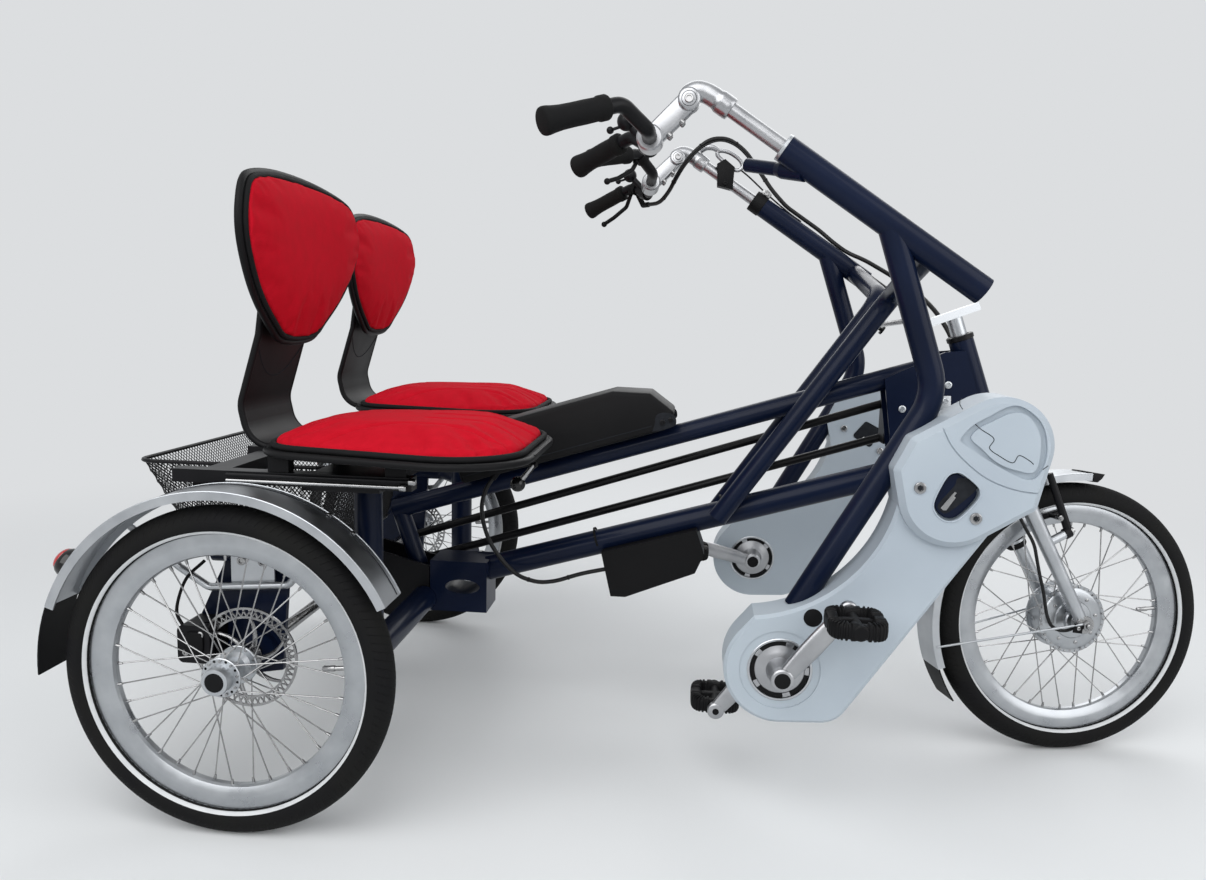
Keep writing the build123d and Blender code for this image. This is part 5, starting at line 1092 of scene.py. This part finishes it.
def battery_case():
    """Battery with broad rounded rims, its lower seam, and the lock plate with its two round studs."""
    def battery_piece(label, parts, material, sharp=40, replaces=()):
        """A piece laid along the slope of the tube that the battery sits on."""
        piece(label, parts, material, "root", sharp, replaces,
              lambda grid: spun(grid, TUBE_SLOPE) + BATTERY_PLACE)
    half = 0.0618
    corners = mm((-195, 0), (205, 0), (231, 26), (196, 73), (130, 95), (-175, 95), (-195, 80))
    case = slab(rounded_outline(corners, 0.009, 7), -half, half, 0.0085)
    battery_piece("battery_case", [case], black_plastic, 30, ("battery",))
    plate = mm((183.5, 3), (220.5, 3), (229, 13), (225, 25.5), (208, 33), (195, 30), (188, 15))
    plate = smooth_path(plate, 40, closed=True)
    trim, studs = [], []
    for side in BOTH:
        trim.append(slab(plate, side * 0.0600, side * 0.0628, 0.0010))
        trim.append(tube(lifted(mm((-190, 14), (183, 14)), side * half), 0.0008, 6))
        for x, z, radius in mm((203.5, 15.8, 5.2), (219.5, 16.3, 4.5)):
            profile = [(0.0018, 0.0006), (0.0018, radius * 0.4), (0.0030, radius * 0.6), (0.0024, radius),
                       (-0.002, radius)]
            studs.append(lathe(profile, (x, side * 0.0626, z), (0, side, 0), 24))
    battery_piece("battery_trim", trim, gap_black)
    battery_piece("battery_studs", studs, black_coat, 30)
    gland = lathe(mm((0, 6.2), (16, 6.8)), (0.302, -0.051, 0.480), (0.55, 0.09, 0.83), 20)
    piece("battery_gland", [gland], black_plastic, "root")


def seat_hardware():
    """Bright shafts of the seat levers with their glossy ball knobs, and the rods along the rails."""
    bright, balls, dark = [], [], []
    turn = np.linspace(0.02, np.pi - 0.02, 20)
    ball = 0.0134 * np.stack((-np.cos(turn), np.sin(turn)), -1)
    for side in BOTH:
        y, rail = side * 0.200, side * 0.4455
        bright.append(tube([(0.406, y, 0.5348), (0.3815, y, 0.5040)], 0.0046, 14))
        balls.append(lathe(ball, (0.378, y, 0.500), (0.63, 0, 0.78), 28))
        for end, z, rods in ((0.262, 0.5430, dark), (0.248, 0.5340, bright)):
            rod = [(-0.018, 0.0006), (-0.018, 0.0028), (end, 0.0028)]
            rods.append(lathe(rod, (0, rail, z), (1, 0, 0), 16))
            head = mm((-1, 2.8), (0, 5.2), (7, 5.6), (10, 4))
            bright.append(lathe(head, (end, rail, z), (1, 0, 0), 16))
    piece("seat_rods", bright, steel, "root", 30)
    piece("seat_rods_black", dark, black_coat, "root")
    piece("seat_knobs", balls, glossy_black, "root")


# Mudguards, lamps and brakes

def mudguard_trim():
    """Raised ribs along the mudguards' edges, their screws, and the front one's black end bracket."""
    ribs, dark, screws = [], [], []
    head = mm((3, 0.8), (2.8, 3.2), (1.8, 4.4), (-1, 4.4))
    for name in SIDES:
        for y in (-0.0352, 0.0352):
            ribs.append(tube(at_wheel(round_y(0.2786, np.linspace(26.3, 159.7, 90), y), name), 0.0013, 8))
        dark.append(tube(at_wheel(round_y(0.2789, np.linspace(26.6, 159.4, 90), 0.0215), name), 0.0010, 6))
        for angle in (126, 118, 58.5, 49.5):
            place = at_wheel(round_y(0.279, angle, 0.027), name)
            screws.append(lathe(head, place, round_y(1.0, angle), 14))
    piece("rear_guard_ribs", ribs, aluminium, "root")
    piece("rear_guard_lines", dark, gap_black, "root")
    piece("rear_guard_screws", screws, steel, "root", 30)

    def front_piece(label, parts, material):
        """A piece drawn round the front wheel's axle, turned with the fork."""
        piece(label, parts, material, "fork", at=lambda grid: at_wheel(grid, "front"))
    arc = np.linspace(84.4, 199.6, 80)
    ribs = [tube(round_y(0.2726, arc, side * 0.0322), 0.0012, 8) for side in BOTH]
    front_piece("front_guard_ribs", ribs, aluminium)
    tip = np.concatenate((round_y(0.2752, np.linspace(81.6, 86.2, 6)),
                          round_y(0.2585, np.linspace(86.2, 84.0, 4)), round_y(0.2665, np.array((82.4,)))))
    front_piece("front_guard_end", [slab(tip[:, ::2], -0.0345, 0.0345, 0.0012)], black_plastic)


def lamps():
    """Tail lamps: a black foot that follows the mudguard and a domed red lens."""
    lamp_angle = 148
    foot = mm((-1.2, 22.2), (6, 22.8), (13, 22.2), (18, 20.5), (21.2, 17.6), (21.6, 16))
    turn = np.linspace(0, np.pi / 2 - 0.04, 12)
    dome = np.stack((0.0196 + 0.0104 * np.sin(turn), 0.0182 * np.cos(turn)), -1)
    places = [at_wheel(round_y(0.279, lamp_angle), name) for name in SIDES]
    feet, lenses = ([lathe(profile, place, round_y(1.0, lamp_angle), 44) for place in places]
                    for profile in (foot, dome))
    piece("lamp_feet", feet, glossy_black, "root", 30, ("tail_lights",))
    piece("lamp_lenses", lenses, red_lens, "root")


def rotor(name):
    """Half shaft with the pierced brake disc: two bands joined by slanting bridges, on six swept arms."""
    parts = []
    for inner, outer in mm((62.5, 66), (76.5, 80)):
        parts.append(ring([(0.055, inner), (0.055, outer), (0.058, outer), (0.058, inner)], sides=120))
    disc = 0.0565
    turn = np.arange(48) * 7.5
    for lean in BOTH:
        bridge = np.stack((round_y(0.0648, turn, disc), round_y(0.0780, turn + lean * 5.2, disc)), 1)
        parts.append(tube(bridge, 0.0015, 6))
    angles = np.arange(0, 360, 60)[:, None] + np.linspace(0, 26, 8)
    arms = round_y(np.linspace(0.020, 0.0640, 8), angles, disc)
    parts.append(tube(arms, np.linspace(0.0042, 0.0026, 8), 8))
    parts.append(ring(mm((28.3, 10), (28.3, 15), (34, 16.5), (50, 22.5), (58.5, 22.5), (58.5, 10))))
    parts.append(lathe(mm((28, 10), (467, 10)), sides=32))
    wheel_piece("rotor_" + name, parts, steel, name, 30, ("half_shaft_" + name,))
    screws = [bolt(at_wheel(round_y(0.0172, angle, 0.0585), name), (0, -SIDES[name], 0), 0.0040, 0.0024)
              for angle in range(30, 390, 60)]
    piece("rotor_screws_" + name, screws, black_coat, "wheel_" + name, 30)


def caliper_details():
    """Bright screws on the calipers and on the mudguard stays' plates."""
    screws, trim = [], []
    for side in BOTH:
        for x, z in mm((-90, 262), (-66, 291)):
            screws.append(bolt((x, side * 0.4478, z), (0, side, 0), 0.0055, 0.003))
        for x in (-0.017, 0.017):
            screws.append(bolt((x, side * 0.4072, 0.4000), (0, side, 0), 0.0072, 0.004))
        rib = oval(20, 3) * (0.016, 0.019) + (-0.077, 0.277)
        trim.append(slab(rib, side * 0.4475, side * 0.4515, 0.0015))
        hose = mm((-98, 440, 300), (-110, 436, 325), (-100, 425, 370), (-76, 410, 398)) * (1, side, 1)
        trim.append(tube(smooth_path(hose, 30), 0.0026, 8))
    piece("brake_screws", screws, steel, "root", 30)
    piece("caliper_trim", trim, black_plastic, "root", 30)


# Fork and front hub

def fork_piece(label, parts, material, sharp=40):
    """A piece made on the fork while it points straight ahead."""
    piece(label, parts, material, "fork", sharp, at=steered)


def fork_details():
    """What stands on the fork's ends: washers, nuts, the axle's tips and the cable's clip."""
    washer = mm((67.2, 6.4), (67.2, 11.8), (69.2, 11.8), (69.2, 6.4))
    nut = mm((69.2, 6.4), (69.2, 9.2), (70, 9.8), (75.2, 9.8), (76.2, 8.8), (76.2, 6.4))
    eye = mm((45.5, 6.4), (45.5, 15.5), (47, 16.5), (65.5, 16.5), (67, 15.5), (67, 6.4))
    tip = mm((60, 5.2), (79.5, 5.2), (81.2, 3.6))
    screw = mm((1.2, 0.6), (1.2, 1.8), (2.8, 2), (2.2, 3.6), (-0.5, 3.8))
    drop = mm((-25.5, -13), (-8.5, -15), (-6, 1.5), (-23, 4)) + (AXLE[0], TYRE_RADIUS)
    bright, dark = [], []
    for side in BOTH:
        way = (0, side, 0)
        bright += [ring(profile, AXLE, way, sides) for profile, sides in ((washer, 36), (nut, 6), (eye, 40))]
        bright += [lathe(tip, AXLE, way, 20),
                   lathe(screw, AXLE + (-0.0165, side * 0.0700, -0.005), way, 16)]
        dark.append(slab(drop, 0.0672, 0.0700, 0.0008) * (1, side, 1))
    fork_piece("axle_ends", bright, steel, 30)
    fork_piece("axle_lugs", dark, black_plastic)


def hub_details():
    """Rivets round the motor hub's flanges and the screws of its cover."""
    rivet = mm((-0.4, 2.1), (0.6, 1.8), (1.2, 0.9))
    screw = mm((-0.6, 3.4), (1.4, 3.2), (2, 2.2))
    parts = []
    for side in BOTH:
        for profile, radius, y, angles, sides in ((rivet, 0.0612, 0.0241, range(0, 360, 20), 8),
                                                  (screw, 0.0440, 0.0262, range(10, 370, 45), 12)):
            parts += [lathe(profile, round_y(radius, angle, side * y), (0, side, 0), sides)
                      for angle in angles]
    wheel_piece("hub_rivets", parts, steel, "front", 35)


def brake_details():
    """Bright screws and washers on the rim brake, and the black clamp with a pale band on the left leg."""
    parts = []
    for side in BOTH:
        pivot = beside_leg(0.1661, 0.051, side * 0.056)
        profile = mm((-1, 8.5), (1.5, 8.5), (1.8, 5.8), (6, 5.2), (6.2, 2.4), (4, 2))
        parts.append(lathe(profile, pivot, beside_leg(0.1661, 0.061, side * 0.056) - pivot, 24))
        profile = mm((-10, 5.2), (1.5, 5.2), (1.8, 3.6), (3.6, 3.4))
        parts.append(lathe(profile, beside_leg(0.1961, 0.044, side * 0.0565), (0, side, 0), 20))
    fork_piece("rim_brake_screws", parts, steel, 30)
    place = beside_leg(0.158, -0.004, 0.056)
    way = beside_leg(0.200, -0.004, 0.056) - place
    can = mm((-20, 12), (-18.5, 17), (-15, 19.5), (6, 19.5), (7.5, 18.2), (17.5, 18.2), (19.5, 15), (20, 11))
    fork_piece("drum", [lathe(can, place, way, 36)], black_plastic, 35)
    fork_piece("drum_band", [ring(mm((-6, 19), (-6, 20.1), (-1, 20.1), (-1, 19)), place, way, 36)], aluminium)


frame_details()
battery_case()
seat_hardware()
mudguard_trim()
lamps()
for name in SIDES:
    rotor(name)
caliper_details()
fork_details()
hub_details()
brake_details()


# Floor and surroundings

SURROUND = "dcdee0"
FADE_START = 1.2
FADE_END = 3.4


def seen_rays(owner):
    """1 for the rays that look at the surroundings: the camera's own, and mirrored or refracted ones."""
    path = add(owner, "LightPath").outputs
    seen = path["Is Camera Ray"]
    for kind in ("Is Glossy Ray", "Is Transmission Ray"):
        seen = add(owner, "Math", {0: seen, 1: path[kind]}, operation="MAXIMUM").outputs[0]
    return seen


def ground():
    """A pale disc of floor, which keeps the shadow near by and fades into the surroundings further out."""
    edge = at_height(30 * circle(72), 0)
    mesh = bpy.data.meshes.new("ground")
    mesh.from_pydata(edge.tolist(), [], [list(range(len(edge)))])
    made = finish("painted_floor", "e2e4e5", 0.6, Specular_IOR_Level=0.1)
    place = add(made, "TexCoord").outputs["Object"]
    far = add(made, "VectorMath", {0: place}, operation="LENGTH").outputs["Value"]
    share = add(made, "MapRange", {"Value": far, "From Min": FADE_START, "From Max": FADE_END},
                interpolation_type="SMOOTHSTEP")
    share = add(made, "Math", {0: share.outputs["Result"], 1: seen_rays(made)}, operation="MULTIPLY")
    glow = add(made, "Emission", {"Color": colour(SURROUND), "Strength": 1.0})
    nodes = made.node_tree.nodes
    mixed = add(made, "MixShader", {0: share.outputs[0], 1: nodes["Principled BSDF"].outputs[0],
                                    2: glow.outputs[0]})
    made.node_tree.links.new(mixed.outputs[0], nodes["Material Output"].inputs["Surface"])
    mesh.materials.append(made)
    floor = bpy.data.objects.new("ground", mesh)
    bpy.context.collection.objects.link(floor)


def surroundings():
    """Soft light from all round, and an even pale grey for the rays that look at it."""
    world = bpy.data.worlds.new("world")
    bpy.context.scene.world = world
    world.use_nodes = True
    nodes = world.node_tree.nodes
    light = nodes["Background"]
    light.inputs["Color"].default_value = colour("e4e7eb")
    light.inputs["Strength"].default_value = 0.4
    pale = add(world, "Background", {"Color": colour(SURROUND), "Strength": 1.0})
    mixed = add(world, "MixShader", {0: seen_rays(world), 1: light.outputs[0], 2: pale.outputs[0]})
    world.node_tree.links.new(mixed.outputs[0], nodes["World Output"].inputs["Surface"])


ground()
camera()
soft_light("key", (-1.2, -3.0, 3.2), 4.4, 165)
soft_light("fill", (3.2, -2.2, 2.2), 3.4, 70)
soft_light("back", (0.6, 3.2, 3.2), 4.0, 85)
surroundings()
bpy.context.scene.view_settings.view_transform = "Standard"
